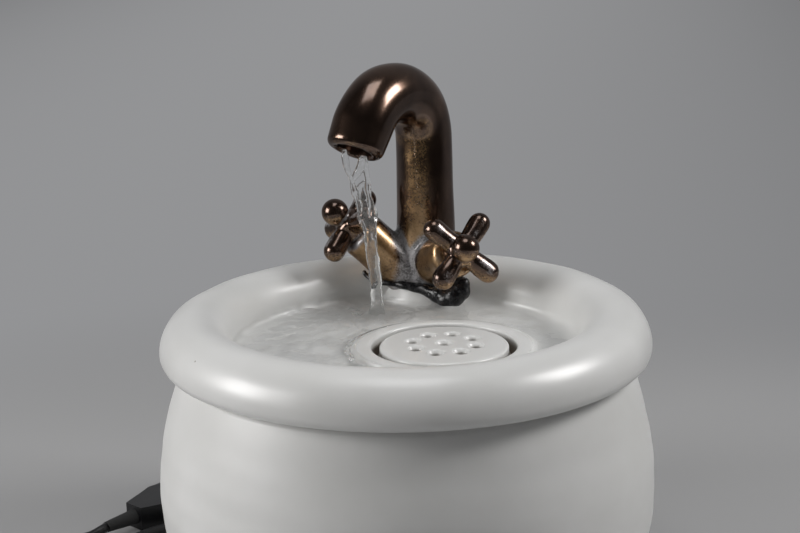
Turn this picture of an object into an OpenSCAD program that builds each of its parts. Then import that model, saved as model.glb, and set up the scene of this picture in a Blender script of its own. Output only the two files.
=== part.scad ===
// Pet water fountain: a ceramic pot with a small pump, a lift-off dish and a tap that pours into it.
// Millimetres, +Z up. The origin is on the pot's axis at its foot, and the tap stands at +Y.

/* [Pot] */
// Outer diameter of the pot at its widest
belly_d = 255.2; // [246:0.2:300]
// Height of the widest place above the foot
belly_h = 61; // [52:1:70]
// Height of the pot's rim, on which the dish rests
pot_h = 124.5; // [118:0.5:146]
// How much smaller the rim's diameter is than the belly's
rim_drop = 28.2; // [22:0.2:32]
// How much smaller the foot's diameter is than the belly's
foot_drop = 27.2; // [10:0.2:40]
// Thickness of the pot's wall
pot_wall = 7; // [5:0.5:8]
// Thickness of the pot's floor
pot_floor = 8; // [6:0.5:12]
// Width of the foot ring under the pot
foot_ring_w = 12; // [8:1:20]
// Height of the hollow inside the foot ring
foot_ring_h = 3; // [1:0.5:4]
// Width of the cord notch in the rim
notch_w = 12; // [9:0.5:16]
// Depth of the cord notch below the rim
notch_depth = 20.5; // [19:0.5:26]
// How far the notch is turned from the tap, towards the left
notch_turn = 25; // [18:1:40]

/* [Dish] */
// How far the dish's lip reaches past the pot's rim
lip_overhang = 11.5; // [8:0.5:16]
// How far the crest of the rolled rim stands inside the pot's rim
crest_inset = 6.5; // [4:0.5:9]
// Height of the crest above the pot's rim
crest_h = 26.8; // [24:0.1:34]
// Height of the lip's widest place above the pot's rim
lip_h = 7; // [6.6:0.1:9]
// Width of the inner slope, from the crest to the foot of the slope
inner_roll = 18; // [16:0.5:20]
// Height of the top of the dish's floor above the pot's rim
floor_h = 1.5; // [1:0.1:3.5]
// Thickness of the dish's floor
dish_floor_t = 7; // [5:0.1:7.5]
// Thickness of the wall over the hollow under the rim
dish_wall = 7.5; // [6:0.1:9]
// Depth of the ring that locates the dish in the pot's mouth
locator_depth = 5; // [3:0.5:7]
// Thickness of the locating ring
locator_t = 4; // [3:0.5:6]
// Clearance between the locating ring and the pot's mouth
locator_gap = 1.2; // [0.6:0.1:3]

/* [Drain] */
// Offset of the drain from the pot's axis, to the right
drain_x = 20.5; // [10:0.5:28]
// Offset of the drain from the pot's axis, to the front
drain_front = 8.5; // [0:0.5:20]
// Diameter of the strainer plate
strainer_d = 65.4; // [56:0.2:66]
// Thickness of the strainer plate at its edge
strainer_t = 5.2; // [4:0.1:7]
// Rise of the strainer's top from its edge to its middle
strainer_crown = 1; // [0.5:0.1:2]
// Gap round the strainer in its recess
strainer_gap = 4.1; // [1:0.1:5]
// Height of the strainer's ledge above the dish's floor
ledge_h = 1.8; // [1:0.1:3]
// Width of the ledge under the strainer's edge
ledge_w = 3.2; // [2.5:0.1:5]
// Width of the raised ring's flat top
weir_w = 5.5; // [4:0.1:8]
// Height of the raised ring above the dish's floor
weir_h = 7.2; // [5:0.1:8]
// Diameter of the strainer's holes
strainer_hole_d = 5.5; // [4:0.1:7]
// Number of holes round the centre hole
strainer_holes = 8; // [6:1:9]
// Radius of the circle of holes
strainer_hole_ring = 16.5; // [14:0.5:19]
// Length of the collar under the strainer
collar_h = 5; // [3:0.5:8]
// Thickness of the collar's wall
collar_t = 3; // [2:0.5:4]
// Clearance round the collar in the drain hole
collar_gap = 0.9; // [0.5:0.1:1.5]

/* [Tap] */
// Distance of the column's axis from the pot's mouth
tap_inset = 13.5; // [13:0.5:19]
// Diameter of the column at its foot
column_d = 33.8; // [30:0.2:35]
// Diameter of the column where the arch begins, and of the arch
neck_d = 31.2; // [28:0.2:33]
// Height of the tap's seat above the pot's rim
tap_seat_h = 15.5; // [14:0.5:18]
// Height of the arch's centre above the tap's seat
arch_centre_h = 79.4; // [60:0.1:110]
// Radius of the arch's centre line
arch_r = 29; // [24:0.5:34]
// Sweep of the arch, from the column to the nozzle
arch_sweep = 148; // [120:1:165]
// Length of the straight nozzle after the arch
nozzle_l = 15.5; // [8:0.5:24]
// Diameter of the nozzle at its mouth
nozzle_d = 29.6; // [26:0.2:31]
// Rounding of the nozzle's lip
lip_round = 5; // [2:0.5:6]
// Turn of the spout from straight ahead, towards the left
spout_turn = 29; // [-40:1:40]
// Diameter of the water channel in the tap
channel_d = 11; // [8:0.5:13]
// Diameter of the nozzle's open mouth
mouth_d = 15; // [13:0.5:18]
// Depth of the nozzle's open mouth
mouth_depth = 9; // [5:0.5:12]
// Diameter of the arms that carry the cross handles
arm_d = 26; // [22:0.5:28]
// Clearance round the column in its seat, filled by the sealant
seat_gap = 0.7; // [0.3:0.1:1.5]

/* [Handles] */
// Turn of the left arm from straight ahead, towards the left
left_turn = 69; // [55:1:85]
// Upward tilt of the left arm
left_tilt = 43; // [36:1:52]
// Height of the left arm's root above the pot's rim
left_root_h = 9.5; // [6:0.5:18]
// Distance of the left cross from the column's axis, along the arm
left_reach = 58.5; // [52:0.5:66]
// Roll of the left cross round its arm
left_roll = 26; // [0:1:90]
// Turn of the right arm from straight ahead, towards the left
right_turn = -30; // [-50:1:-20]
// Upward tilt of the right arm
right_tilt = 22; // [15:1:35]
// Height of the right arm's root above the pot's rim
right_root_h = 22.5; // [16:0.5:28]
// Distance of the right cross from the column's axis, along the arm
right_reach = 51.5; // [48:0.5:66]
// Roll of the right cross round its arm
right_roll = 46; // [0:1:90]
// Length of each finger, from the cross's centre to its tip
finger_l = 24; // [19:0.5:28]
// Diameter of a finger at its tip
finger_d = 9; // [7:0.1:11]
// Diameter of a finger at its root
finger_root_d = 8; // [6:0.1:10]
// Diameter of the cross's hub
hub_d = 17; // [14:0.5:20]
// Length of the cross's hub along the arm
hub_l = 12; // [10:0.5:16]
// Diameter of the ball on each cross
ball_d = 14.8; // [11:0.1:17]
// Distance of the left ball's centre from its cross's centre
left_ball_out = 11.8; // [9:0.1:13]
// Distance of the right ball's centre from its cross's centre
right_ball_out = 9.5; // [9:0.1:13]

/* [Sealant] */
// Width of the sealant bead round the column
bead_w = 4; // [2:0.5:6]
// Height of the sealant bead
bead_h = 3; // [1.5:0.5:5]
// Diameter of the lump of sealant under the right arm
lump_d = 23; // [16:0.5:26]
// Distance of the lump from the column's axis
lump_reach = 30; // [24:0.5:34]
// Diameter of the dab of sealant under the left arm
dab_d = 17; // [10:0.5:20]
// Distance of the dab from the column's axis
dab_reach = 22; // [18:0.5:28]

/* [Pump] */
// Length of the pump's housing
pump_l = 50; // [46:0.5:60]
// Depth of the pump's housing, front to rear
pump_d = 38; // [36:0.5:44]
// Height of the pump's housing
pump_h = 38; // [36:0.5:44]
// How far the housing reaches past the tube's axis, on the intake side
pump_lead_in = 14; // [12:0.5:18]
// Rounding of the housing's long edges
pump_round = 8; // [4:0.5:10]
// Sideways offset of the outlet from the impeller's axis
outlet_offset = 9; // [7:0.5:10]
// Height of the suction cups
cup_h = 5; // [4:0.5:8]
// Diameter of a suction cup
cup_d = 15; // [10:0.5:16]
// Distance of the suction cups from the housing's sides
cup_inset = 3; // [2:0.5:5]
// Diameter of the impeller's chamber
chamber_d = 30; // [27:0.5:32]
// Depth of the impeller's chamber
chamber_depth = 11; // [9.5:0.5:13]
// Diameter of the impeller across its blades
impeller_d = 26; // [20:0.5:26.5]
// Width of the impeller's blades along the shaft
blade_w = 6; // [4:0.5:6.5]
// Thickness of a blade
blade_t = 1.6; // [1:0.1:2.5]
// Number of blades
blades = 6; // [4:1:8]
// Diameter of the rotor's magnet
magnet_d = 14.8; // [12:0.2:16]
// Length of the rotor's magnet
magnet_l = 22; // [16:0.5:24]
// Gap round the magnet in its well
well_gap = 0.6; // [0.4:0.1:1.2]
// Diameter of the rotor's shaft
shaft_d = 2; // [1.5:0.1:3]
// Radial running clearance on the shaft
shaft_fit = 0.05; // [0.02:0.01:0.1]
// Diameter of the shaft's bushes
bush_d = 6; // [5:0.5:7]
// Length of the shaft's bushes
bush_l = 4; // [3:0.5:5]
// Thickness of the intake cover along the shaft
cover_l = 11; // [9:0.5:16]
// Wall of the intake cover
cover_wall = 1.8; // [1.4:0.1:2.5]
// Number of slots in each long side of the intake cover
cover_slots = 4; // [2:1:5]
// Width of the cover's slots
slot_w = 1.8; // [1:0.1:2.5]
// Diameter of the flow dial
dial_d = 27; // [25:0.5:32]
// Thickness of the flow dial
dial_t = 2.6; // [2:0.1:4]
// Radius of the circle of inlet holes in the cover and the dial
inlet_ring = 9; // [8.5:0.5:10]
// Diameter of an inlet hole
inlet_d = 4.6; // [3:0.1:5]
// Number of inlet holes
inlets = 6; // [4:1:6]

/* [Supply tube] */
// Outer diameter of the supply tube
tube_d = 16; // [14:0.5:17]
// Bore of the supply tube
tube_bore = 13; // [11.5:0.1:13.5]
// Depth of the tube's socket in the foot of the column
socket_depth = 14; // [8:0.5:20]
// Radial fit of the tube on the nozzle and in the tap
tube_fit = 0.05; // [0.02:0.01:0.1]
// Wall of the rubber grommet round the tube, in the dish
grommet_wall = 2.4; // [1.5:0.1:3]
// Length of the outlet nozzle inside the tube
nozzle_grip = 12; // [8:0.5:16]

/* [Mains lead] */
// Diameter of the lead
cord_d = 5.5; // [5:0.1:6]
// Mean diameter of the coil of spare lead
coil_d = 60; // [56:1:66]
// Turns of the coil that lie side by side
coil_across = 3; // [2:1:3]
// Layers of the coil
coil_layers = 2; // [1:1:2]
// Thickness of the coil's tie
tie_t = 0.6; // [0.6:0.1:1]
// Width of the coil's tie
tie_w = 9; // [6:0.5:14]
// Width of the plug's body at its pin face
plug_w = 35.3; // [30:0.1:38]
// Width of the plug's body at its cord end
plug_neck_w = 13; // [12:0.1:16]
// Height of the plug's body
plug_h = 13.7; // [12:0.1:14]
// Length of the plug's body
plug_l = 36; // [30:0.5:42]
// Diameter of a plug pin
pin_d = 4; // [4:0.1:5]
// Length of a plug pin
pin_l = 19; // [17:0.1:20]
// Distance between the plug's pins
pin_pitch = 18.6; // [17.5:0.1:19.2]
// Length of the strain reliefs on the lead
relief_l = 20; // [16:0.5:30]

/* [Hidden] */
$fn = 64;
eps = 0.01;
round_fn = 96;

glaze_white = [0.87, 0.87, 0.85];
bronze = [0.36, 0.25, 0.15];
black = [0.07, 0.07, 0.08];

// Pot
belly_r = belly_d / 2;
rim_r = belly_r - rim_drop / 2;
mouth_r = rim_r - pot_wall;
floor_round = 10;
rim_round = pot_wall * 0.35;

// Dish, with its heights counted from the pot's rim
lip_r = rim_r + lip_overhang;
crest_r = rim_r - crest_inset;
lip_roll = lip_r - crest_r;
slope_fall = 8;
slope_h = floor_h + slope_fall;
slope_r = crest_r - inner_roll;
lip_under = lip_h - 6;
under_h = floor_h - dish_floor_t;
neck_in = 1;
channel_low = 4;
locator_r = mouth_r - locator_gap;
channel_in_r = slope_r + dish_wall;
channel_out_r = locator_r - locator_t;
channel_wide_r = crest_r + lip_roll - 2 * dish_wall;

// Drain
drain_y = -drain_front;
ledge_top = floor_h + ledge_h;
recess_r = strainer_d / 2 + strainer_gap;
drain_r = strainer_d / 2 - ledge_w;
weir_r = recess_r + weir_w;
weir_slope = 5;

// Tap
tap_setback = mouth_r - tap_inset;
seat_z = pot_h + tap_seat_h;
arch_z = seat_z + arch_centre_h;
column_r = column_d / 2;
neck_r = neck_d / 2;
pad_r = column_r + 1.6;
pad_slope = 6;
sweep_lap = 1;
sweep_step = 0.08;

// Pump
pump_z = pot_floor + cup_h;
pump_y = tap_setback - outlet_offset;
axis_z = pump_z + pump_h / 2;
pump_front_x = pump_lead_in;
pump_back_x = pump_lead_in - pump_l;
plate_t = 2;
chamber_floor_x = pump_front_x - chamber_depth;
magnet_gap = 0.5;
magnet_x = chamber_floor_x - magnet_gap - magnet_l;
well_x = magnet_x - 0.8;
impeller_hub_d = 8;
blade_x = chamber_floor_x + 0.6;
flange_t = 3;
nozzle_z = pump_z + pump_h;
eye_d = 15;
dial_gap = 0.3;
spindle_d = 5;
dial_boss_l = 3;
outlet_bore = 9;
gland_l = 12;
lead_z = pump_z + pump_h - 11;
dial_x = pump_front_x + cover_l + dial_gap;

// Supply tube and its grommet
tube_low_z = nozzle_z + flange_t + 0.3;
tube_high_z = seat_z + socket_depth - 0.3;
grommet_r = tube_d / 2 + tube_fit + grommet_wall;
grommet_flange = 2;

// Lead: hand-chosen points, counted from the gland, the notch, the pot's side and the plug's place
cord_r = cord_d / 2;
ring_step = 13;
notch_floor = pot_h - notch_depth;
notch_out = rim_r + 6;
gland_end = [pump_back_x - gland_l, pump_y, lead_z];
notch_end = [-notch_out * sin(notch_turn), notch_out * cos(notch_turn), notch_floor + cord_r + 0.25];
FROM_GLAND = [[-0.3, 0, 0], [-4, 0, 0], [-9, -0.5, 2], [-14, -1, 7], [-16, -2, 15], [-14.5, -4, 26]];
TO_NOTCH = [[-7, -29, -31], [0, -28.5, -19], [4.5, -24.5, -9.5], [6.8, -18, -2.5], [5, -10.8, 0], [0, 0, 0]];
// down the outside of the pot, as turn from the tap, clearance and share of the pot's height
DOWN_SIDE = [[24.6, 10, 0.853], [25.4, 19, 0.806], [26, 20.5, 0.711], [26.7, 20.5, 0.597],
    [27.8, 20, 0.446], [29.5, 21.5, 0.294], [32.2, 28, 0.161]];
// across the floor, with x counted from the pot's side
OVER_FLOOR = [[36.6, 122, 9], [25, 111, 4], [15, 96.5, 3], [8, 82, 3], [1.4, 72.6, 3], [-8, 60, 3],
    [-19, 49, 3], [-28.5, 38.5, 3], [-33.5, 26, 3], [-33.5, 11, 3], [-29.2, -3, 3.3]];
coil_centre = [-belly_r - 62.4, -22];
coil_base = tie_t + 0.1;
plug_at = [-belly_r - 37.4, 56, 0];
plug_turn = 55;
// from the top of the coil to the plug, with x counted from the pot's side
TO_PLUG = [[-98.8, -11, 9], [-95.4, 1.5, 9], [-89.4, 8.5, 9], [-78.4, 18.5, 6.5], [-67.4, 27.5, 3.8],
    [-57.5, 32, 3.8], [-51.8, 35.4, 5.9], [-49.2, 39.2, 6.85]];

function polar(r, a) = [r * cos(a), r * sin(a)];

// Points of a quarter ellipse about c, from angle a to angle b
function arc(c, rx, ry, a, b, n = 10) = [for (i = [0:n])
    let (t = a + (b - a) * i / n) [c[0] + rx * cos(t), c[1] + ry * sin(t)]];

// The pot's outer radius at height z
function pot_r(z) = z > belly_h
    ? belly_r - rim_drop / 2 * pow((z - belly_h) / (pot_h - belly_h), 1.85)
    : belly_r - foot_drop / 2 * pow((belly_h - z) / belly_h, 2.2);

// A point outside the pot's side, from its turn, its clearance and its share of the height
function beside_pot(p) = let (z = p[2] * pot_h, r = pot_r(z) + p[1]) [-r * sin(p[0]), r * cos(p[0]), z];

// Catmull-Rom point between p[i] and p[i + 1], with t from 0 to 1
function spline_at(p, i, t) =
    let (n = len(p) - 1, a = p[max(i - 1, 0)], b = p[i], c = p[min(i + 1, n)], d = p[min(i + 2, n)])
    b + 0.5 * t * ((c - a) + t * ((2 * a - 5 * b + 4 * c - d) + t * (3 * (b - c) + d - a)));

// The route p as evenly stepped points on one smooth curve
function smooth_route(p) = concat([for (i = [0:len(p) - 2])
    let (n = max(1, round(norm(p[i + 1] - p[i]) / ring_step)))
    for (k = [0:n - 1]) spline_at(p, i, k / n)], [p[len(p) - 1]]);

function unit(v) = v / norm(v);

// Side direction of a ring whose route runs along t, never parallel to it
function side_of(t) = let (s = cross(t, abs(t[2]) > 0.9 ? [1, 0.3, 0] : [0, 0, 1])) unit(s);

// A tube of radius r, swept along the points of p, with flat closed ends
module tube_along(p, r, sides = 10) {
    n = len(p);
    dirs = [for (i = [0:n - 1]) unit(p[min(i + 1, n - 1)] - p[max(i - 1, 0)])];
    rings = [for (i = [0:n - 1]) let (s = side_of(dirs[i]), u = cross(s, dirs[i]))
        for (k = [0:sides - 1]) p[i] + r * (cos(360 * k / sides) * s + sin(360 * k / sides) * u)];
    walls = [for (i = [0:n - 2], k = [0:sides - 1]) let (m = (k + 1) % sides)
        [i * sides + k, (i + 1) * sides + k, (i + 1) * sides + m, i * sides + m]];
    start = [for (k = [0:sides - 1]) k];
    end = [for (k = [sides - 1:-1:0]) (n - 1) * sides + k];
    polyhedron(rings, concat(walls, [start, end]));
}

// A rectangle with round corners, centred
module round_rect(w, h, r) {
    square([w - 2 * r, h], center = true);
    square([w, h - 2 * r], center = true);
    for (x = [-1, 1], y = [-1, 1]) translate([x * (w / 2 - r), y * (h / 2 - r)]) circle(r);
}

// Puts its children in a frame whose Z axis runs along the shaft, from x towards the intake
module along_shaft(x) {
    translate([x, pump_y, axis_z]) rotate([90, 0, 90]) children();
}

// Puts its children at distance reach out along an arm of the tap, with Z along the arm
module on_arm(turn, tilt, root_h, reach = 0) {
    translate([0, tap_setback, pot_h + root_h]) rotate([0, 0, -turn]) rotate([90 - tilt, 0, 0])
        translate([0, 0, reach]) children();
}

module pot_section() {
    steps = 22;
    outside = [for (i = [0:steps]) let (z = 2 + (pot_h - rim_round - 2) * i / steps) [pot_r(z), z]];
    top = arc([pot_r(pot_h) - rim_round, pot_h - rim_round], rim_round, rim_round, 0, 90, 5);
    top_in = arc([pot_r(pot_h) - pot_wall + rim_round, pot_h - rim_round], rim_round, rim_round, 90, 180, 5);
    low = pot_floor + floor_round;
    inside = [for (i = [steps:-1:0]) let (z = low + (pot_h - rim_round - low) * i / steps)
        [pot_r(z) - pot_wall, z]];
    corner = arc([pot_r(low) - pot_wall - floor_round, low], floor_round, floor_round, -15, -90, 6);
    polygon(concat([[0, foot_ring_h], [pot_r(0) - foot_ring_w, foot_ring_h], [pot_r(0) - foot_ring_w + 2, 0],
        [pot_r(0) - 2, 0]], outside, top, top_in, inside, corner, [[0, pot_floor]]));
}

module pot() {
    color(glaze_white) difference() {
        rotate_extrude($fn = round_fn) pot_section();
        rotate([0, 0, notch_turn]) translate([0, rim_r, notch_floor]) {
            translate([0, 0, notch_w / 2]) rotate([90, 0, 0])
                cylinder(d = notch_w, h = 4 * pot_wall, center = true);
            translate([-notch_w / 2, -2 * pot_wall, notch_w / 2]) cube([notch_w, 4 * pot_wall, notch_depth]);
        }
    }
}

// Half section of the dish, with z counted from the pot's rim
module dish_section() {
    lip_low = arc([lip_r - 7, lip_h], 7, lip_h - lip_under, -90, 0, 8);
    outer = arc([crest_r, lip_h], lip_roll, crest_h - lip_h, 0, 90, 14);
    inner = arc([crest_r, slope_h], inner_roll, crest_h - slope_h, 90, 180, 14);
    foot = arc([slope_r - 10, slope_h], 10, slope_h - floor_h, 0, -90, 10);
    crown = arc([(channel_in_r + channel_wide_r) / 2, slope_h], (channel_wide_r - channel_in_r) / 2,
        crest_h - dish_wall - slope_h, 180, 0, 10);
    polygon(concat([[rim_r - neck_in, 0], [rim_r - neck_in + lip_under / 2, lip_under]], lip_low,
        outer, inner, foot, [[0, floor_h], [0, under_h], [slope_r - 10, under_h]],
        [[slope_r, under_h + 2.5]], crown,
        [[channel_out_r, channel_low], [channel_out_r, -locator_depth], [locator_r - 1, -locator_depth],
        [locator_r, 1 - locator_depth], [locator_r, 0]]));
}

module dish_solid() {
    difference() {
        union() {
            translate([0, 0, pot_h]) rotate_extrude($fn = round_fn) dish_section();
            // raised ring round the strainer
            translate([drain_x, drain_y, pot_h]) rotate_extrude($fn = round_fn) polygon(concat(
                [[drain_r, under_h], [weir_r + weir_slope, under_h]],
                arc([weir_r, floor_h], weir_slope, weir_h, 0, 90, 6), [[drain_r, floor_h + weir_h]]));
            // pad under the column and lug round the tube
            translate([0, tap_setback, pot_h + floor_h])
                cylinder(r1 = pad_r + pad_slope, r2 = pad_r, h = tap_seat_h - floor_h);
            translate([0, tap_setback, pot_h + under_h])
                cylinder(r = locator_r - tap_setback, h = tap_seat_h - under_h);
        }
        translate([drain_x, drain_y, pot_h + ledge_top]) cylinder(r = recess_r, h = crest_h);
        translate([drain_x, drain_y, pot_h + under_h - 1]) cylinder(r = drain_r, h = crest_h);
        translate([0, tap_setback, seat_z]) cylinder(r = column_r + seat_gap, h = crest_h);
        translate([0, tap_setback, pot_h + under_h - 1]) cylinder(r = grommet_r, h = crest_h);
    }
}

module dish() {
    color(glaze_white) dish_solid();
}

module drain_strainer() {
    r = strainer_d / 2;
    edge = 1.6;
    collar_r = drain_r - collar_gap;
    collar = [[0, 0], [collar_r - collar_t, 0], [collar_r - collar_t, -collar_h], [collar_r, -collar_h],
        [collar_r, 0], [r - edge, 0]];
    top = [[r * 0.6, strainer_t + strainer_crown * 0.6], [r * 0.3, strainer_t + strainer_crown * 0.92],
        [0, strainer_t + strainer_crown]];
    color(glaze_white) translate([drain_x, drain_y, pot_h + ledge_top]) difference() {
        rotate_extrude($fn = round_fn) polygon(concat(collar, arc([r - edge, edge], edge, edge, -90, 0, 4),
            arc([r - edge, strainer_t - edge], edge, edge, 0, 90, 5), top));
        for (i = [0:strainer_holes])
            let (p = i == 0 ? [0, 0] : polar(strainer_hole_ring, 360 * i / strainer_holes + 10))
            translate([p[0], p[1], 0]) {
                translate([0, 0, -1]) cylinder(d = strainer_hole_d, h = strainer_t + 4);
                translate([0, 0, strainer_t - 1])
                    cylinder(d1 = strainer_hole_d, d2 = strainer_hole_d + 4, h = 2.2);
            }
    }
}

// Column, arch, nozzle and arms as one clay body, without its bores
module tap_clay() {
    translate([0, tap_setback, seat_z])
        cylinder(r1 = column_r, r2 = neck_r - sweep_step, h = arch_centre_h + sweep_lap);
    translate([0, tap_setback, arch_z]) rotate([0, 0, -spout_turn]) {
        translate([0, -arch_r, 0]) rotate([90, 0, 90]) rotate_extrude(angle = arch_sweep)
            translate([arch_r, 0]) circle(neck_r);
        nozzle_frame() rotate_extrude() polygon(concat(
            [[0, -sweep_lap], [neck_r - sweep_step, -sweep_lap]],
            arc([nozzle_d / 2 - lip_round, nozzle_l - lip_round], lip_round, lip_round, 0, 90, 6),
            [[0, nozzle_l]]));
    }
    arm(left_turn, left_tilt, left_root_h, left_reach);
    arm(right_turn, right_tilt, right_root_h, right_reach);
}

// Puts its children at the end of the arch, with Z along the nozzle
module nozzle_frame() {
    translate([0, -arch_r + arch_r * cos(arch_sweep), arch_r * sin(arch_sweep)])
        rotate([arch_sweep, 0, 0]) children();
}

// A stub arm, with a rounded shoulder under its cross
module arm(turn, tilt, root_h, reach) {
    shoulder = 4;
    l = reach - hub_l / 2;
    on_arm(turn, tilt, root_h) rotate_extrude() polygon(concat([[0, 0], [arm_d / 2, 0]],
        arc([arm_d / 2 - shoulder, l - shoulder], shoulder, shoulder, 0, 90, 6), [[0, l]]));
}

module tap_solid() {
    difference() {
        tap_clay();
        // everything below the seat is cut off level
        translate([0, tap_setback, 0]) cylinder(r = left_reach + right_reach, h = seat_z);
        translate([0, tap_setback, seat_z - 1]) cylinder(r = tube_d / 2 + tube_fit, h = socket_depth + 1);
        translate([0, tap_setback, seat_z])
            cylinder(r = channel_d / 2 + sweep_step, h = arch_centre_h + sweep_lap);
        translate([0, tap_setback, arch_z]) rotate([0, 0, -spout_turn]) {
            translate([0, -arch_r, 0]) rotate([90, 0, 90]) rotate_extrude(angle = arch_sweep)
                translate([arch_r, 0]) circle(d = channel_d);
            nozzle_frame() {
                translate([0, 0, -sweep_lap]) cylinder(r = channel_d / 2 + sweep_step, h = nozzle_l);
                translate([0, 0, nozzle_l - mouth_depth]) cylinder(d = mouth_d, h = mouth_depth + 1);
            }
        }
    }
}

module tap() {
    color(bronze) difference() {
        tap_solid();
        dish_solid();
    }
}

// Hub with four round fingers; Z runs along the arm and the cross's centre is at 0
module cross_handle(roll) {
    color(bronze) {
        translate([0, 0, -hub_l / 2]) cylinder(d = hub_d, h = hub_l);
        for (k = [0:3]) rotate([0, 0, roll + 90 * k]) {
            rotate([90, 0, 0]) cylinder(d1 = finger_root_d, d2 = finger_d, h = finger_l - finger_d / 2);
            translate([0, -(finger_l - finger_d / 2), 0]) sphere(d = finger_d);
        }
    }
}

// Ball seated on the outer face of the hub
module handle_ball(out) {
    color(bronze) difference() {
        translate([0, 0, out]) sphere(d = ball_d);
        translate([0, 0, hub_l / 2 - ball_d]) cylinder(d = 2 * ball_d, h = ball_d);
    }
}

module left_cross_handle() {
    on_arm(left_turn, left_tilt, left_root_h, left_reach) cross_handle(left_roll);
}

module left_handle_ball() {
    on_arm(left_turn, left_tilt, left_root_h, left_reach) handle_ball(left_ball_out);
}

module right_cross_handle() {
    on_arm(right_turn, right_tilt, right_root_h, right_reach) cross_handle(right_roll);
}

module right_handle_ball() {
    on_arm(right_turn, right_tilt, right_root_h, right_reach) handle_ball(right_ball_out);
}

module sealant_bead() {
    color(black) difference() {
        translate([0, tap_setback, 0]) {
            translate([0, 0, seat_z]) cylinder(r1 = column_r + bead_w, r2 = column_r, h = bead_h);
            rotate([0, 0, -right_turn]) translate([0, -lump_reach, pot_h + floor_h - 1])
                cylinder(d1 = lump_d, d2 = lump_d - 3, h = right_root_h - floor_h);
            rotate([0, 0, -left_turn]) translate([0, -dab_reach, seat_z]) sphere(d = dab_d);
        }
        tap_solid();
        dish_solid();
        translate([0, tap_setback, pot_h]) cylinder(r = column_r - 1, h = crest_h);
    }
}

module supply_tube() {
    color([0.8, 0.85, 0.85]) translate([0, tap_setback, tube_low_z]) difference() {
        cylinder(d = tube_d, h = tube_high_z - tube_low_z);
        translate([0, 0, -1]) cylinder(d = tube_bore, h = tube_high_z - tube_low_z + 2);
    }
}

module tube_grommet() {
    flange_h = 2;
    sleeve_h = tap_seat_h - under_h;
    color(black) translate([0, tap_setback, pot_h + under_h]) difference() {
        union() {
            cylinder(r = grommet_r, h = sleeve_h);
            translate([0, 0, -flange_h]) cylinder(r = grommet_r + grommet_flange, h = flange_h);
        }
        translate([0, 0, -flange_h - 1]) cylinder(r = tube_d / 2 + tube_fit, h = sleeve_h + flange_h + 2);
    }
}

// Centres of the four suction cups, seen from above
function cup_places() = let (in = cup_d / 2 + cup_inset)
    [for (x = [pump_back_x + in, pump_front_x - in], y = [-1, 1]) [x, pump_y + y * (pump_d / 2 - in)]];

module pump_housing() {
    stem_d = 5;
    rib_w = 1.6;
    well_r = magnet_d / 2 + well_gap;
    color(black) difference() {
        along_shaft(pump_back_x) linear_extrude(pump_l) round_rect(pump_d, pump_h, pump_round);
        along_shaft(chamber_floor_x) cylinder(d = chamber_d, h = chamber_depth + 1);
        along_shaft(well_x) cylinder(r = well_r, h = chamber_floor_x - well_x + 1);
        along_shaft(well_x - bush_l) cylinder(d = bush_d, h = bush_l + 1);
        // outlet passage, tangent to the chamber, and the nozzle's socket
        translate([chamber_floor_x + chamber_depth / 2, tap_setback, axis_z])
            cylinder(d = outlet_bore - 1, h = pump_h);
        translate([0, tap_setback, nozzle_z - flange_t]) cylinder(d = tube_bore + 2, h = flange_t + 1);
        // gland's hole
        translate([pump_back_x - 1, pump_y, lead_z]) rotate([0, 90, 0]) cylinder(d = 8, h = 5);
        for (p = cup_places()) translate([p[0], p[1], pump_z - 1]) cylinder(d = stem_d, h = 5);
        // cooling grooves round the motor's end
        for (i = [0:3]) along_shaft(pump_back_x + 9 + i * 5) linear_extrude(rib_w) difference() {
            round_rect(pump_d + 2, pump_h + 2, pump_round);
            round_rect(pump_d - 2.4, pump_h - 2.4, pump_round - 1.2);
        }
    }
}

// Plate that closes the chamber, with an eye for the water and a spider for the front bush
module volute_cover() {
    spider_d = bush_d + 3;
    leg_w = 2;
    color([0.16, 0.16, 0.18]) along_shaft(pump_front_x - plate_t) difference() {
        union() {
            difference() {
                cylinder(d = chamber_d, h = plate_t);
                translate([0, 0, -1]) cylinder(d = eye_d, h = plate_t + 2);
            }
            cylinder(d = spider_d, h = plate_t + 2);
            for (k = [0:2]) rotate([0, 0, 120 * k]) translate([-leg_w / 2, 0, 0])
                cube([leg_w, eye_d / 2 + 1, plate_t]);
        }
        translate([0, 0, -1]) cylinder(d = bush_d, h = plate_t + 4);
    }
}

module outlet_nozzle() {
    grip_r = tube_bore / 2 - tube_fit;
    color(black) translate([0, tap_setback, nozzle_z]) difference() {
        union() {
            translate([0, 0, -flange_t]) cylinder(d = tube_bore + 2, h = flange_t);
            cylinder(d = tube_d + 2, h = flange_t);
            translate([0, 0, flange_t]) cylinder(r = grip_r, h = nozzle_grip);
        }
        translate([0, 0, -flange_t - 1]) cylinder(d = outlet_bore, h = nozzle_grip + 2 * flange_t + 2);
    }
}

module rotor_magnet() {
    color([0.25, 0.25, 0.27]) along_shaft(magnet_x) difference() {
        cylinder(d = magnet_d, h = magnet_l);
        translate([0, 0, -1]) cylinder(r = shaft_d / 2 + shaft_fit, h = magnet_l + 2);
    }
}

module impeller() {
    hub_x = magnet_x + magnet_l;
    hub_end = blade_x + blade_w;
    color([0.9, 0.9, 0.88]) difference() {
        union() {
            along_shaft(hub_x) cylinder(d = impeller_hub_d, h = hub_end - hub_x);
            for (k = [0:blades - 1]) along_shaft(blade_x) rotate([0, 0, 360 * k / blades])
                translate([-blade_t / 2, 0, 0]) cube([blade_t, impeller_d / 2, blade_w]);
        }
        along_shaft(hub_x - 1) cylinder(r = shaft_d / 2 + shaft_fit, h = hub_end - hub_x + 2);
    }
}

module rotor_shaft() {
    rear = well_x - bush_l + 0.5;
    color([0.75, 0.76, 0.78]) along_shaft(rear) cylinder(d = shaft_d, h = pump_front_x + 1.5 - rear);
}

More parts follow.
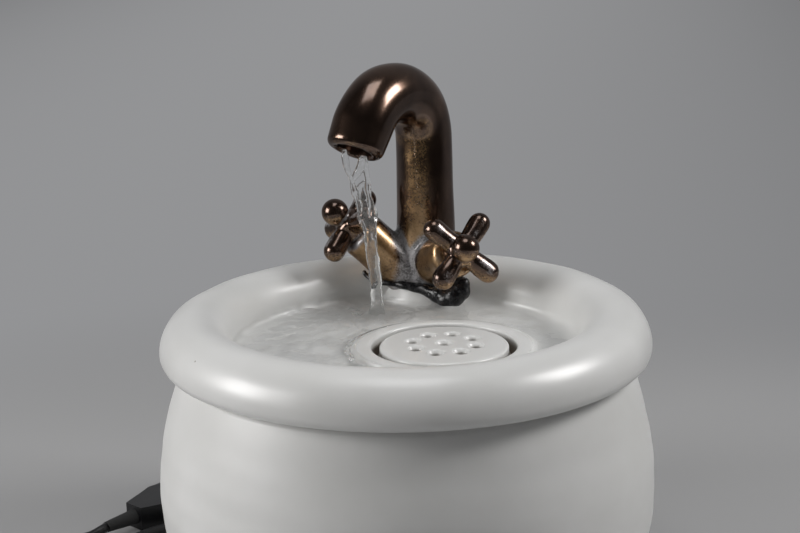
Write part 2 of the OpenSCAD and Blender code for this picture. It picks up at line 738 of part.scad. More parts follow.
module bush(x, l) {
    color(black) along_shaft(x) difference() {
        cylinder(d = bush_d, h = l);
        translate([0, 0, -1]) cylinder(d = shaft_d, h = l + 2);
    }
}

module front_bush() {
    bush(pump_front_x - plate_t, plate_t + 2);
}

module rear_bush() {
    bush(well_x - bush_l, bush_l);
}

// Turns its children to each inlet hole of the cover or the dial
module at_inlets() {
    for (k = [0:inlets - 1]) rotate([0, 0, 360 * k / inlets]) translate([inlet_ring, 0, 0]) children();
}

module intake_cover() {
    inner = cover_l - cover_wall;
    side = pump_h - 2 * pump_round;
    color([0.12, 0.12, 0.13]) along_shaft(pump_front_x) difference() {
        linear_extrude(cover_l) round_rect(pump_d, pump_h, pump_round);
        translate([0, 0, -1]) linear_extrude(inner + 1)
            round_rect(pump_d - 2 * cover_wall, pump_h - 2 * cover_wall, pump_round - cover_wall);
        at_inlets() cylinder(d = inlet_d, h = cover_l + 1);
        cylinder(r = spindle_d / 2 + shaft_fit, h = cover_l + 1);
        for (i = [1:cover_slots], x = [-1, 1])
            translate([x * pump_d / 2, -side / 2 + side * i / (cover_slots + 1), inner / 2 + 0.5])
                cube([4 * cover_wall, slot_w, inner - 3], center = true);
    }
}

// Dial whose holes stand over the cover's; its clip holds it from inside
module flow_dial() {
    clip_d = spindle_d + 3;
    color([0.2, 0.2, 0.22]) {
        along_shaft(dial_x) difference() {
            union() {
                cylinder(d = dial_d, h = dial_t);
                // grip, between two pairs of holes
                rotate([0, 0, 180 / inlets]) translate([-dial_d / 2 + 2, -1.5, 0])
                    cube([dial_d - 4, 3, dial_t + dial_boss_l]);
            }
            at_inlets() cylinder(d = inlet_d, h = dial_t + dial_boss_l + 1);
        }
        along_shaft(dial_x - cover_wall - 2 * dial_gap)
            cylinder(d = spindle_d, h = cover_wall + 2 * dial_gap + eps);
        along_shaft(dial_x - cover_wall - 2 * dial_gap - 1.5) cylinder(d = clip_d, h = 1.5);
    }
}

module suction_cups() {
    color([0.1, 0.1, 0.1]) for (p = cup_places()) translate([p[0], p[1], pot_floor]) {
        rotate_extrude() polygon([[0, 1.2], [cup_d / 2 - 1, 0], [cup_d / 2, 0], [cup_d / 2 - 0.4, 0.8],
            [3.5, cup_h - 1.5], [3.5, cup_h], [0, cup_h]]);
        translate([0, 0, cup_h]) cylinder(d = 5, h = 4);
    }
}

module cord_gland() {
    color(black) translate([pump_back_x, pump_y, lead_z]) rotate([0, -90, 0]) {
        cylinder(r1 = 5.2, r2 = cord_r + 0.7, h = gland_l);
        translate([0, 0, -4]) cylinder(d = 8, h = 4 + eps);
    }
}

module pump_lead() {
    route = concat([for (p = FROM_GLAND) gland_end + p], [for (p = TO_NOTCH) notch_end + p]);
    color(black) tube_along(smooth_route(route), cord_r);
}

module mains_cord() {
    start = notch_end + 0.3 * [-sin(notch_turn), cos(notch_turn), 0];
    down = [for (p = DOWN_SIDE) beside_pot(p)];
    across = [for (p = OVER_FLOOR) p - [belly_r, 0, 0]];
    color(black) tube_along(smooth_route(concat([start], down, across)), cord_r);
}

module plug_cord() {
    color(black) tube_along(smooth_route([for (p = TO_PLUG) p - [belly_r, 0, 0]]), cord_r);
}

module cord_coil() {
    w = coil_across * cord_d;
    h = coil_layers * cord_d;
    color(black) translate([coil_centre[0], coil_centre[1], coil_base]) rotate_extrude($fn = round_fn)
        translate([coil_d / 2, h / 2]) round_rect(w, h, cord_r);
}

module cord_tie() {
    w = coil_across * cord_d + 0.8;
    h = coil_layers * cord_d + 0.2;
    color([0.1, 0.1, 0.1]) translate([coil_centre[0] - tie_w / 2, coil_centre[1] - coil_d / 2, 0])
        rotate([90, 0, 90]) linear_extrude(tie_w) difference() {
            translate([0, h / 2 + tie_t]) round_rect(w + 2 * tie_t, h + 2 * tie_t, cord_r);
            translate([0, h / 2 + tie_t]) round_rect(w, h, cord_r - 0.4);
        }
}

// Puts its children at the plug's cord end, with Y towards the pins and Z up
module at_plug() {
    translate(plug_at) rotate([0, 0, plug_turn - 90]) children();
}

module plug_relief() {
    color(black) at_plug() translate([0, 0, plug_h / 2]) rotate([90, 0, 0])
        cylinder(r1 = 4.4, r2 = cord_r + 0.3, h = relief_l);
}

module plug_body() {
    corner = 3;
    half = [[plug_neck_w / 2, 0], [plug_w / 2 - 4, plug_l * 0.55], [plug_w / 2, plug_l * 0.8],
        [plug_w / 2, plug_l]];
    other = [for (i = [3:-1:0]) [-half[i][0], half[i][1]]];
    color(black) at_plug() intersection() {
        linear_extrude(plug_h) polygon(concat(half, other));
        translate([0, plug_l, plug_h / 2]) rotate([90, 0, 0]) linear_extrude(plug_l)
            round_rect(plug_w, plug_h, corner);
    }
}

module plug_pins() {
    tip = 1;
    color([0.8, 0.8, 0.8]) at_plug() for (x = [-1, 1])
        translate([x * pin_pitch / 2, plug_l, plug_h / 2]) rotate([-90, 0, 0]) {
            cylinder(d = pin_d, h = pin_l - tip);
            translate([0, 0, pin_l - tip]) cylinder(d1 = pin_d, d2 = pin_d - 1.4 * tip, h = tip);
        }
}

pot();
dish();
drain_strainer();
tap();
left_cross_handle();
left_handle_ball();
right_cross_handle();
right_handle_ball();
sealant_bead();
supply_tube();
tube_grommet();
pump_housing();
volute_cover();
outlet_nozzle();
rotor_magnet();
impeller();
rotor_shaft();
front_bush();
rear_bush();
intake_cover();
flow_dial();
suction_cups();
cord_gland();
pump_lead();
mains_cord();
cord_coil();
cord_tie();
plug_cord();
plug_relief();
plug_body();
plug_pins();
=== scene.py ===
import math

import bmesh
import bpy
import numpy as np
from mathutils import Matrix


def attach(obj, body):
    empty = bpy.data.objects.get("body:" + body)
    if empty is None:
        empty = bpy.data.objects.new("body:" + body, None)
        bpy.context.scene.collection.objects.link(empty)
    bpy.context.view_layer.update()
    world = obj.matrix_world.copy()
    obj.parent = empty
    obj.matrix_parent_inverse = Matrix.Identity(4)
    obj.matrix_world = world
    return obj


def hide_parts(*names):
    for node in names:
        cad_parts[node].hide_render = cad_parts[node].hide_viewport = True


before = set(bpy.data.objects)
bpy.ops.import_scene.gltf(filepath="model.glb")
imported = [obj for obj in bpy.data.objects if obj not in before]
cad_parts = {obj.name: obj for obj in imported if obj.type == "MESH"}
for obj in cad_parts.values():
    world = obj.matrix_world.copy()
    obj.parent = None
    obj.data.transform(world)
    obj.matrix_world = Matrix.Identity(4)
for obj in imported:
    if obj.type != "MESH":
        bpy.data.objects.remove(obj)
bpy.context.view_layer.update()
mm = 0.001
skyward = np.array([0, 0, 1.0])
print("frame loaded")


def putObject(name, data):
    obj = bpy.data.objects.new(name, data)
    bpy.context.scene.collection.objects.link(obj)
    return obj


def placed(x, y, z, at):
    # the matrix of an object with these three axes, at a place in metres
    world = np.eye(4)
    world[:3] = np.stack([x, y, z, at], -1)
    return Matrix(world.tolist())


# the camera looks at a point on the pot's axis, which lands on the given pixel
shot = {
    "target": (0.0, 0.0, 132.0), "distance": 915.0, "elevation": 17.0, "turn": 7.4, "roll": -1.1,
    "frame": (800, 533), "pixel": (404.7, 340.5), "focalPixels": 1794.0,
    "sensor": 36.0, "clip": (0.05, 60.0),
}


def placeCamera(s):
    # the sight line falls by the elevation, less the angle of the target's pixel below the middle
    aside, below = [math.atan((s["pixel"][k] - s["frame"][k] / 2) / s["focalPixels"]) for k in (0, 1)]
    fall = math.radians(s["elevation"])
    back = np.array([0, -math.cos(fall), math.sin(fall)])
    look = np.array([0, math.cos(fall - below), -math.sin(fall - below)])
    up = np.array([0, math.sin(fall - below), math.cos(fall - below)])
    pan = np.array(Matrix.Rotation(aside, 3, "Z"))
    look, up, right = pan @ look, pan @ up, pan @ np.array([1.0, 0, 0])
    r = math.radians(s["roll"])
    right, up = math.cos(r) * right + math.sin(r) * up, math.cos(r) * up - math.sin(r) * right
    turn = np.array(Matrix.Rotation(math.radians(s["turn"]), 3, "Z"))
    place = turn @ (np.array(s["target"]) + s["distance"] * back) * mm
    cam = putObject("camera", bpy.data.cameras.new("camera"))
    cam.matrix_world = placed(turn @ right, turn @ up, -(turn @ look), place)
    cam.data.sensor_width = s["sensor"]
    cam.data.lens = s["focalPixels"] / s["frame"][0] * s["sensor"]
    cam.data.clip_start, cam.data.clip_end = s["clip"]
    bpy.context.scene.camera = cam


placeCamera(shot)


# mesh and curve helpers, all in millimetres


def unit(v):
    return v / np.maximum(np.linalg.norm(v, axis=-1, keepdims=True), 1e-12)


def ease(t):
    # smooth step from 0 to 1
    t = np.clip(t, 0, 1)
    return t * t * (3 - 2 * t)


def bell(x, width):
    # 1 at x = 0, fading to nothing over about two widths
    return np.exp(-((x / width) ** 2))


def around(count):
    # angles of even steps round a circle
    return np.linspace(0, 2 * np.pi, count, endpoint=False)


def ellipseArc(centre, rx, ry, start, end, count):
    # points of an ellipse about centre, evenly stepped in angle, in degrees
    t = np.radians(np.linspace(start, end, count))
    return np.stack([centre[0] + rx * np.cos(t), centre[1] + ry * np.sin(t)], -1)


def waves(points, seed, size, count=14):
    # soft noise between about -1 and 1: a sum of sine waves that run in random directions
    rng = np.random.default_rng(seed)
    ways = unit(rng.normal(size=(count, points.shape[-1])))
    turns = 2 * np.pi / (size * rng.uniform(0.6, 1.7, count))
    starts = rng.uniform(0, 2 * np.pi, count)
    return np.sin(points @ (ways * turns[:, None]).T + starts).sum(-1) / math.sqrt(count)


def gridFaces(rows, columns, wrapRows=False):
    # quads between rings of points, numbered ring by ring
    i = np.arange(rows if wrapRows else rows - 1)[:, None]
    j = np.arange(columns)[None, :]
    i2, j2 = (i + 1) % rows, (j + 1) % columns
    quads = [i * columns + j, i * columns + j2, i2 * columns + j2, i2 * columns + j]
    return np.stack(quads, -1).reshape(-1, 4)


def fanFaces(ring, hub, flip=False):
    # triangles from a ring of vertex numbers to one hub vertex
    tri = np.stack([ring, np.roll(ring, -1), np.full_like(ring, hub)], -1)
    return tri[:, ::-1] if flip else tri


def closedSkin(grid, start, end):
    # rings of points with a hub at each end, as points and a list of face arrays
    rows, columns = grid.shape[:2]
    ring, n = np.arange(columns), rows * columns
    fans = [fanFaces(ring, n, flip=True), fanFaces(ring + n - columns, n + 1)]
    return np.concatenate([grid.reshape(-1, 3), [start], [end]]), [gridFaces(rows, columns)] + fans


def putMesh(name, points, faces):
    # one smooth mesh object from points in millimetres and a list of face arrays
    mesh = bpy.data.meshes.new(name)
    corners = np.concatenate([f.ravel() for f in faces]).astype(np.int32)
    sizes = np.concatenate([np.full(len(f), f.shape[1]) for f in faces])
    starts = np.concatenate([[0], np.cumsum(sizes)[:-1]]).astype(np.int32)
    mesh.vertices.add(len(points))
    mesh.vertices.foreach_set("co", (np.asarray(points, float) * mm).astype(np.float32).ravel())
    mesh.loops.add(len(corners))
    mesh.loops.foreach_set("vertex_index", corners)
    mesh.polygons.add(len(sizes))
    mesh.polygons.foreach_set("loop_start", starts)
    mesh.update(calc_edges=True)
    mesh.validate()
    mesh.polygons.foreach_set("use_smooth", np.full(len(mesh.polygons), True))
    return putObject(name, mesh)


def outward(obj):
    # turns the faces of a closed mesh outwards
    bm = bmesh.new()
    bm.from_mesh(obj.data)
    bmesh.ops.recalc_face_normals(bm, faces=bm.faces)
    bm.to_mesh(obj.data)
    bm.free()
    return obj


def readVectors(obj, what):
    v = np.zeros(len(obj.data.vertices) * 3, np.float32)
    obj.data.vertices.foreach_get(what, v)
    return v.reshape(-1, 3).astype(float)


def readPoints(obj):
    return readVectors(obj, "co") / mm


def writePoints(obj, points):
    obj.data.vertices.foreach_set("co", (points * mm).astype(np.float32).ravel())
    obj.data.update()


def pushOut(obj, amount):
    # moves each point along its normal
    writePoints(obj, readPoints(obj) + readVectors(obj, "normal") * amount[:, None])


def putAttribute(obj, name, values):
    layer = obj.data.attributes.new(name, "FLOAT", "POINT")
    layer.data.foreach_set("value", np.asarray(values, np.float32))


def relax(obj, rounds):
    # Laplacian smoothing: each point moves half of the way to its neighbours' mean
    edges = np.zeros(len(obj.data.edges) * 2, np.int32)
    obj.data.edges.foreach_get("vertices", edges)
    a, b = edges.reshape(-1, 2).T
    p = readPoints(obj)

    def gathered(weights):
        # for each point, the sum of what its edges bring: 1 each, or the far ends' coordinate
        return np.bincount(a, weights[0], len(p)) + np.bincount(b, weights[1], len(p))

    degree = gathered((None, None))
    for _ in range(rounds):
        total = np.stack([gathered((p[b, k], p[a, k])) for k in range(3)], -1)
        p += 0.5 * (total / degree[:, None] - p)
    writePoints(obj, p)
    return obj


def fuse(obj, voxel):
    # closed shells that overlap become one skin of small quads
    remesh = obj.modifiers.new("fuse", "REMESH")
    remesh.mode = "VOXEL"
    remesh.voxel_size = voxel * mm
    remesh.use_smooth_shade = True
    graph = bpy.context.evaluated_depsgraph_get()
    skin = bpy.data.meshes.new_from_object(obj.evaluated_get(graph), depsgraph=graph)
    old = obj.data
    obj.modifiers.clear()
    obj.data = skin
    skin.name = obj.name
    bpy.data.meshes.remove(old)
    return obj


def fusedShells(name, shells, voxel, rounds):
    # one smoothed skin from a list of (points, list of face arrays)
    points, faces, base = [], [], 0
    for p, fs in shells:
        points.append(p)
        faces += [f + base for f in fs]
        base += len(p)
    return relax(fuse(putMesh(name, np.concatenate(points), faces), voxel), rounds)


def tangents(path):
    return unit(np.gradient(path, axis=0))


def carried(path):
    # side and up directions that turn as little as they can along a path
    t = tangents(path)
    side = np.zeros_like(t)
    s = np.cross(t[0], skyward)
    s = s if np.linalg.norm(s) > 1e-3 else np.cross(t[0], (1.0, 0.3, 0.0))
    for i in range(len(t)):
        s = s - t[i] * (s @ t[i])
        s = s / np.linalg.norm(s)
        side[i] = s
    return side, np.cross(side, t)


def sweep(path, radii, sides, side=None):
    # a closed skin round a path; radii holds one radius a ring, or one for each side of each ring
    path = np.asarray(path, float)
    if side is None:
        side, up = carried(path)
    else:
        side = np.broadcast_to(unit(np.asarray(side, float)), path.shape)
        up = np.cross(side, tangents(path))
    a = around(sides)[None, :, None]
    r = np.asarray(radii, float)
    r = r[:, None] if r.ndim == 1 else r
    ring = r[..., None] * (np.cos(a) * side[:, None] + np.sin(a) * up[:, None])
    return closedSkin(path[:, None] + ring, path[0], path[-1])


def egg(centre, size):
    # an ellipsoid about centre, with its three half widths
    turn = np.radians(np.linspace(-86, 86, 15))[:, None]
    a = around(24)[None, :]
    ball = np.stack([np.cos(turn) * np.cos(a), np.cos(turn) * np.sin(a), np.sin(turn) + 0 * a], -1)
    points, faces = closedSkin(ball, -skyward, skyward)
    return points * size + centre, faces


def spin(profile, columns, shaped):
    # a profile of (radius, height), with both ends on Z, turned round Z and then shaped
    a = around(columns)
    r, z = profile[1:-1, :1], profile[1:-1, 1:]
    grid = shaped(np.stack([r * np.cos(a), r * np.sin(a), z + 0 * a], -1))
    return closedSkin(grid, (0, 0, profile[0, 1]), (0, 0, profile[-1, 1]))


def smoothRoute(route, step):
    # Catmull-Rom curve through a route's points, stepped about evenly
    p = np.asarray(route, float)
    q = np.concatenate([[2 * p[0] - p[1]], p, [2 * p[-1] - p[-2]]])
    out = []
    for a, b, c, d in zip(q, q[1:], q[2:], q[3:]):
        n = max(1, int(round(np.linalg.norm(c - b) / step)))
        t = (np.arange(n) / n)[:, None]
        out.append(b + 0.5 * t * ((c - a) + t * ((2 * a - 5 * b + 4 * c - d) + t * (3 * (b - c) + d - a))))
    return np.concatenate(out + [p[-1:]])


def steps(path):
    return np.linalg.norm(np.diff(path, axis=0), axis=1)


def evenly(path, count):
    # the same line with its points the same distance apart
    d = np.concatenate([[0], np.cumsum(steps(path))])
    s = np.linspace(0, d[-1], count)
    return np.stack([np.interp(s, d, path[:, k]) for k in range(3)], -1)


# materials


def newMaterial(name):
    # a material with its node tree and its Principled shader
    m = bpy.data.materials.new(name)
    m.use_nodes = True
    return m, m.node_tree, m.node_tree.nodes["Principled BSDF"]


def rgba(colour):
    # a colour with its alpha, from three numbers or from one for a grey
    return (*colour[:3], 1.0) if isinstance(colour, tuple) else (colour, colour, colour, 1.0)


def feed(node, sockets):
    # sets a node's inputs, each to a value or to another node's output, given as (node, output)
    for key, value in sockets.items():
        socket = node.inputs[key]
        if isinstance(value, tuple) and isinstance(value[0], bpy.types.Node):
            node.id_data.links.new(value[0].outputs[value[1]], socket)
        else:
            socket.default_value = rgba(value) if socket.type == "RGBA" else value


def addNode(tree, kind, inputs=None, **settings):
    n = tree.nodes.new("ShaderNode" + kind)
    for key, value in settings.items():
        setattr(n, key, value)
    feed(n, inputs or {})
    return n


def here(t):
    return addNode(t, "TexCoord"), "Object"


def noise(t, place, scale, detail, roughness=0.5):
    inputs = {"Vector": place, "Scale": scale, "Detail": detail, "Roughness": roughness}
    return addNode(t, "TexNoise", inputs), "Fac"


def mark(t, name):
    # an attribute that the mesh carries
    return addNode(t, "Attribute", attribute_name=name), "Fac"


def maths(t, operation, *values):
    # one number worked out from others, each a value or a (node, output)
    return addNode(t, "Math", dict(enumerate(values)), operation=operation), "Value"


def ramp(t, source, *stops):
    # a colour ramp with stops of (place, colour or grey)
    n = addNode(t, "ValToRGB", {"Fac": source})
    for slot, (place, colour) in zip(n.color_ramp.elements, stops[:2]):
        slot.position = place
        slot.color = rgba(colour)
    for place, colour in stops[2:]:
        n.color_ramp.elements.new(place).color = rgba(colour)
    return n, "Color"


def mixColours(t, factor, a, b, mode="MIX"):
    return addNode(t, "Mix", {0: factor, 6: a, 7: b}, data_type="RGBA", blend_type=mode), 2


def bump(t, height, strength, distance, normal=None):
    n = addNode(t, "Bump", {"Height": height, "Strength": strength, "Distance": distance})
    if normal:
        feed(n, {"Normal": normal})
    return n, "Normal"


def dots(t, place, scale, size, rarity):
    # small round dots in a few of the cells of a cellular pattern
    cell = addNode(t, "TexVoronoi", {"Vector": place, "Scale": scale}, feature="F1")
    dot = ramp(t, (cell, "Distance"), (size, 1.0), (size + 0.07, 0.0))
    return maths(t, "MULTIPLY", dot, ramp(t, (cell, "Color"), (rarity, 0.0), (rarity + 0.01, 1.0)))


def mixOut(t, share, first, second):
    # the material's surface: a share of the second shader over the first
    mix = addNode(t, "MixShader", {0: share, 1: first, 2: second})
    feed(t.nodes["Material Output"], {"Surface": (mix, "Shader")})


whiteGlazeLook = {
    "colour": (0.73, 0.73, 0.72), "thin": (0.69, 0.69, 0.675), "speck": (0.16, 0.12, 0.09),
    # the first colour on the next line is the brown of the painted shade in holes and grooves
    "paintedShade": (0.20, 0.165, 0.13), "roughness": 0.42, "coat": 0.8, "coatRoughness": 0.28,
    "peel": 0.0001, "cells": 200.0,
}


def makeWhiteGlaze(name, look):
    # satin white glaze: a faint cloudy tint, sparse iron specks, fine turning lines and orange peel, and a
    # painted shade, a brown darkening where the mesh marks holes and grooves
    m, t, s = newMaterial(name)
    place = here(t)
    cloud = noise(t, place, 22.0, 3.0, 0.55)
    tint = ramp(t, cloud, (0.3, look["thin"]), (0.62, look["colour"]))
    specked = mixColours(t, dots(t, place, look["cells"], 0.05, 0.93), tint, look["speck"])
    lines = addNode(
        t, "TexWave",
        {"Vector": place, "Scale": 20.0, "Distortion": 1.2, "Detail": 1.0, "Detail Scale": 2.0},
        wave_type="BANDS", bands_direction="Z",
    )
    turned = bump(t, (lines, "Fac"), 0.35, 0.00018)
    r = look["roughness"]
    feed(s, {
        # painted shade: holes and grooves are darkened brown where the mesh carries the mark
        "Base Color": mixColours(t, mark(t, "paintedShade"), specked, look["paintedShade"]),
        "Roughness": ramp(t, cloud, (0.2, r - 0.04), (0.8, r + 0.06)),
        "Normal": bump(t, noise(t, place, 150.0, 2.0), 0.5, look["peel"], turned),
        "Coat Weight": look["coat"],
        "Coat Roughness": look["coatRoughness"],
    })
    return m


bronzeLook = {
    "dark": (0.050, 0.029, 0.021), "brown": (0.130, 0.080, 0.057),
    "gold": (0.60, 0.39, 0.195), "goldShade": (0.27, 0.158, 0.078),
    "silver": (0.42, 0.41, 0.42), "scratch": (0.035, 0.022, 0.018), "edge": (0.50, 0.44, 0.41),
    "roughness": (0.215, 0.32, 0.42), "metallic": (0.94, 0.25),
    "coat": 0.55, "coatIndex": 1.6, "coatRoughness": 0.13,
}


def makeBronzeGlaze(name, look):
    # metallic glaze: near-black brown, speckled gold, gold painted in as reflection where the mesh marks
    # it, silver grey pooled in the seams
    m, t, s = newMaterial(name)
    place = here(t)
    base = ramp(t, noise(t, place, 45.0, 4.0, 0.55), (0.35, look["dark"]), (0.68, look["brown"]))
    fleck = noise(t, place, 900.0, 2.0, 0.6)
    drift = noise(t, place, 120.0, 3.0, 0.6)
    # gold shows where the painted reflection mark, a slow drift and fine flecks add up to more than about
    # 1.1
    mottle = maths(t, "MULTIPLY_ADD", fleck, 0.95, maths(t, "MULTIPLY", drift, 0.75))
    total = maths(t, "ADD", mottle, mark(t, "paintedSheen"))
    share = ramp(t, maths(t, "MULTIPLY_ADD", total, 1.7, -1.75), (0.0, 0.0), (1.0, 1.0))
    golden = mixColours(t, share, base, mixColours(t, drift, look["goldShade"], look["gold"]))
    patch = maths(t, "MULTIPLY_ADD", drift, 0.6, mark(t, "seam"))
    seamShare = ramp(t, maths(t, "MULTIPLY_ADD", fleck, 0.35, patch), (0.62, 0.0), (0.95, 1.0))
    mixed = maths(t, "MULTIPLY_ADD", fleck, 0.4, maths(t, "MULTIPLY", drift, 0.6))
    dull = tuple(c * 0.35 for c in look["silver"])
    silver = mixColours(t, seamShare, golden, ramp(t, mixed, (0.44, dull), (0.56, look["silver"])))
    # a few short nicks on the golden parts
    stretched = addNode(t, "Mapping", {"Vector": place, "Scale": (1.0, 1.0, 0.35)})
    nick = maths(t, "MULTIPLY", dots(t, (stretched, "Vector"), 260.0, 0.10, 0.86), share)
    dark, gold, seam = look["roughness"]
    lumps = bump(t, noise(t, place, 110.0, 2.0), 0.4, 0.00015)
    feed(s, {
        "Base Color": mixColours(t, nick, silver, look["scratch"]),
        "Roughness": mixColours(t, seamShare, ramp(t, share, (0.0, dark), (1.0, gold)), seam),
        "Normal": bump(t, fleck, 0.2, 0.00005, lumps),
        "Metallic": mixColours(t, seamShare, *look["metallic"]),
        "Specular Tint": look["edge"],
        "Coat Weight": look["coat"],
        "Coat IOR": look["coatIndex"],
        "Coat Roughness": look["coatRoughness"],
    })
    return m


def makePlastic(name, colour, roughness, grain, depth):
    # moulded plastic or rubber: one colour with a slight drift, and a fine moulded grain
    m, t, s = newMaterial(name)
    place = here(t)
    drift = noise(t, place, 60.0, 3.0)
    low, high = (tuple(c * k for c in colour) for k in (0.85, 1.12))
    feed(s, {
        "Base Color": ramp(t, drift, (0.3, low), (0.7, high)),
        "Roughness": ramp(t, drift, (0.3, roughness * 0.9), (0.7, min(1.0, roughness * 1.12))),
        "Normal": bump(t, noise(t, place, grain, 2.0), 0.4, depth),
    })
    return m


def makeSealant(name):
    # glossy black silicone, pushed about with a fingertip: soft lumps, fine wrinkles and grey dust
    m, t, s = newMaterial(name)
    place = here(t)
    dust = noise(t, place, 320.0, 4.0, 0.7)
    lumps = bump(t, noise(t, place, 130.0, 2.0), 0.5, 0.0009)
    feed(s, {
        "Base Color": ramp(t, dust, (0.55, (0.005, 0.005, 0.006)), (0.8, (0.05, 0.05, 0.052))),
        "Roughness": ramp(t, dust, (0.4, 0.20), (0.7, 0.42)),
        "Normal": bump(t, noise(t, place, 520.0, 2.0), 0.4, 0.00016, lumps),
        "Specular IOR Level": 0.35,
    })
    return m


def straightThrough(t):
    # 1 for light on its way to or from a matt surface, which clear water lets through unbent
    path = addNode(t, "LightPath")
    return maths(t, "MAXIMUM", (path, "Is Shadow Ray"), (path, "Is Diffuse Ray"))


streamLook = {
    "tint": (0.975, 0.98, 0.98), "roughness": 0.035, "clearness": 0.93, "clear": (0.92, 0.93, 0.93),
    "fadeFrom": 133.6, "fadeOver": 3.6,
}


def makeStreamWater(name, look):
    # falling water, a little milky, which fades out where it goes into the pool; the milky white stands for
    # fine bubbles and for painted highlights
    m, t, s = newMaterial(name)
    water = {"Base Color": look["tint"], "Roughness": look["roughness"], "IOR": 1.333}
    # the share that is not clear is a diffuse white: fine bubbles, and painted highlights
    feed(s, {**water, "Transmission Weight": look["clearness"]})
    clear = addNode(t, "BsdfTransparent", {"Color": look["clear"]})
    high = addNode(t, "SeparateXYZ", {"Vector": here(t)})
    over, start = look["fadeOver"], look["fadeFrom"]
    risen = maths(t, "MULTIPLY_ADD", (high, "Z"), 1 / mm / over, -start / over)
    share = maths(t, "MAXIMUM", ramp(t, risen, (0.0, 1.0), (1.0, 0.0)), straightThrough(t))
    mixOut(t, share, (s, "BSDF"), (clear, "BSDF"))
    return m


poolLook = {
    "tint": (0.985, 0.992, 0.99), "roughness": 0.02, "spread": 0.62, "even": 0.97, "gathered": 1.0,
}


def makePoolWater(name, look):
    # light that goes in through a crest is gathered, and through a trough is spread
    m, t, s = newMaterial(name)
    water = {"Base Color": look["tint"], "Roughness": look["roughness"], "IOR": 1.333}
    feed(s, {**water, "Transmission Weight": 1.0})
    stops = (0.0, look["spread"]), (0.5, look["even"]), (1.0, look["gathered"])
    clear = addNode(t, "BsdfTransparent", {"Color": ramp(t, mark(t, "gather"), *stops)})
    mixOut(t, straightThrough(t), (s, "BSDF"), (clear, "BSDF"))
    return m


def makeMetal(name, colour, roughness, grain):
    # plated metal with a fine grain in its gloss
    m, t, s = newMaterial(name)
    fine = noise(t, here(t), grain, 3.0)
    feed(s, {
        "Base Color": colour,
        "Metallic": 1.0,
        "Roughness": ramp(t, fine, (0.3, roughness * 0.8), (0.7, roughness * 1.25)),
        "Normal": bump(t, fine, 0.3, 0.00003),
    })
    return m


def makeClearHose(name):
    # clear soft plastic, a little cloudy
    m, t, s = newMaterial(name)
    feed(s, {
        "Base Color": (0.86, 0.90, 0.88),
        "Roughness": ramp(t, noise(t, here(t), 90.0, 2.0), (0.3, 0.10), (0.7, 0.22)),
        "Transmission Weight": 0.75,
        "IOR": 1.42,
    })
    return m


whiteGlaze = makeWhiteGlaze("satin white glaze", whiteGlazeLook)
# the pot's own glaze is a little drier than the dish's
dryLook = dict(whiteGlazeLook, roughness=0.52, coat=0.30, coatRoughness=0.36)
potGlaze = makeWhiteGlaze("dry white glaze", dryLook)
bronzeGlaze = makeBronzeGlaze("metallic bronze glaze", bronzeLook)

# colour, roughness, grain's scale and its depth in metres
moulded = {
    "black moulding": ((0.006, 0.006, 0.007), 0.30, 700.0, 0.00004),
    "dark grey moulding": ((0.055, 0.056, 0.060), 0.42, 700.0, 0.00004),
    "white moulding": ((0.72, 0.71, 0.66), 0.35, 500.0, 0.00003),
    "black rubber": ((0.022, 0.022, 0.022), 0.62, 900.0, 0.00005),
    "cord jacket": ((0.014, 0.014, 0.015), 0.40, 600.0, 0.00004),
    "ferrite": ((0.06, 0.058, 0.058), 0.50, 500.0, 0.00005),
    "polished ceramic": ((0.82, 0.80, 0.74), 0.15, 300.0, 0.00001),
}
plain = {name: makePlastic(name, *look) for name, look in moulded.items()}
sealantBlack = makeSealant("black sealant")
plain["nickel plate"] = makeMetal("nickel plate", (0.66, 0.65, 0.62), 0.22, 800.0)
plain["clear hose"] = makeClearHose("clear hose")
streamWater = makeStreamWater("falling water", streamLook)
poolWater = makePoolWater("pool water", poolLook)
print("materials made")


def dress(obj, material, body):
    obj.data.materials.clear()
    obj.data.materials.append(material)
    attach(obj, body)


# the lead follows the same route as in the part's source, in millimetres
lead = {
    "diameter": 5.5,
    "route": [
        (-50.6, 108.6, 107), (-53.1, 116.0, 106.2), (-57.1, 120.5, 100.3), (-60.3, 123.6, 88.5),
        (-62.5, 124.2, 74.3), (-66.1, 125.3, 55.5), (-70.8, 125.1, 36.6), (-78.9, 125.2, 20.1),
        (-91, 122, 9), (-102.6, 111, 4), (-112.6, 96.5, 3), (-119.6, 82, 3), (-126.2, 72.6, 3),
        (-135.6, 60, 3), (-146.6, 49, 3), (-156.1, 38.5, 3), (-161.1, 26, 3), (-161.1, 11, 3),
        (-156.8, -3, 3.3),
    ],
    "coilCentre": (-190.0, -22.0), "coilRadius": 35.5, "coilBase": 0.7, "turns": 5.634,
    "coilStart": 0.03, "stepsIn": (0.78, 1.78), "stepUp": 2.57, "stepsOut": (3.45, 4.45, 5.45),
    "toPlug": [
        (-206, 18.5, 6.5), (-195, 27.5, 3.8), (-185.1, 32, 3.8), (-179.4, 35.4, 5.9),
        (-176.6, 39.4, 6.85),
    ],
    "step": 2.2, "sides": 18, "flute": 0.07, "fluteWidth": 0.22,
}


def coilLine(c):
    # clockwise turns: three inwards on the floor, then up and outwards again, each a lead's width on
    d = c["diameter"]
    u = np.linspace(c["coilStart"], c["turns"], int(c["turns"] * 72))
    inwards = sum(ease((u - at) / 0.2) for at in c["stepsIn"])
    outwards = sum(ease((u - at) / 0.17) for at in c["stepsOut"])
    r = c["coilRadius"] + d * (outwards - inwards)
    z = c["coilBase"] + d / 2 + d * ease((u - c["stepUp"]) / 0.2)
    a = -2 * np.pi * u
    return np.stack([c["coilCentre"][0] + r * np.cos(a), c["coilCentre"][1] + r * np.sin(a), z], -1)


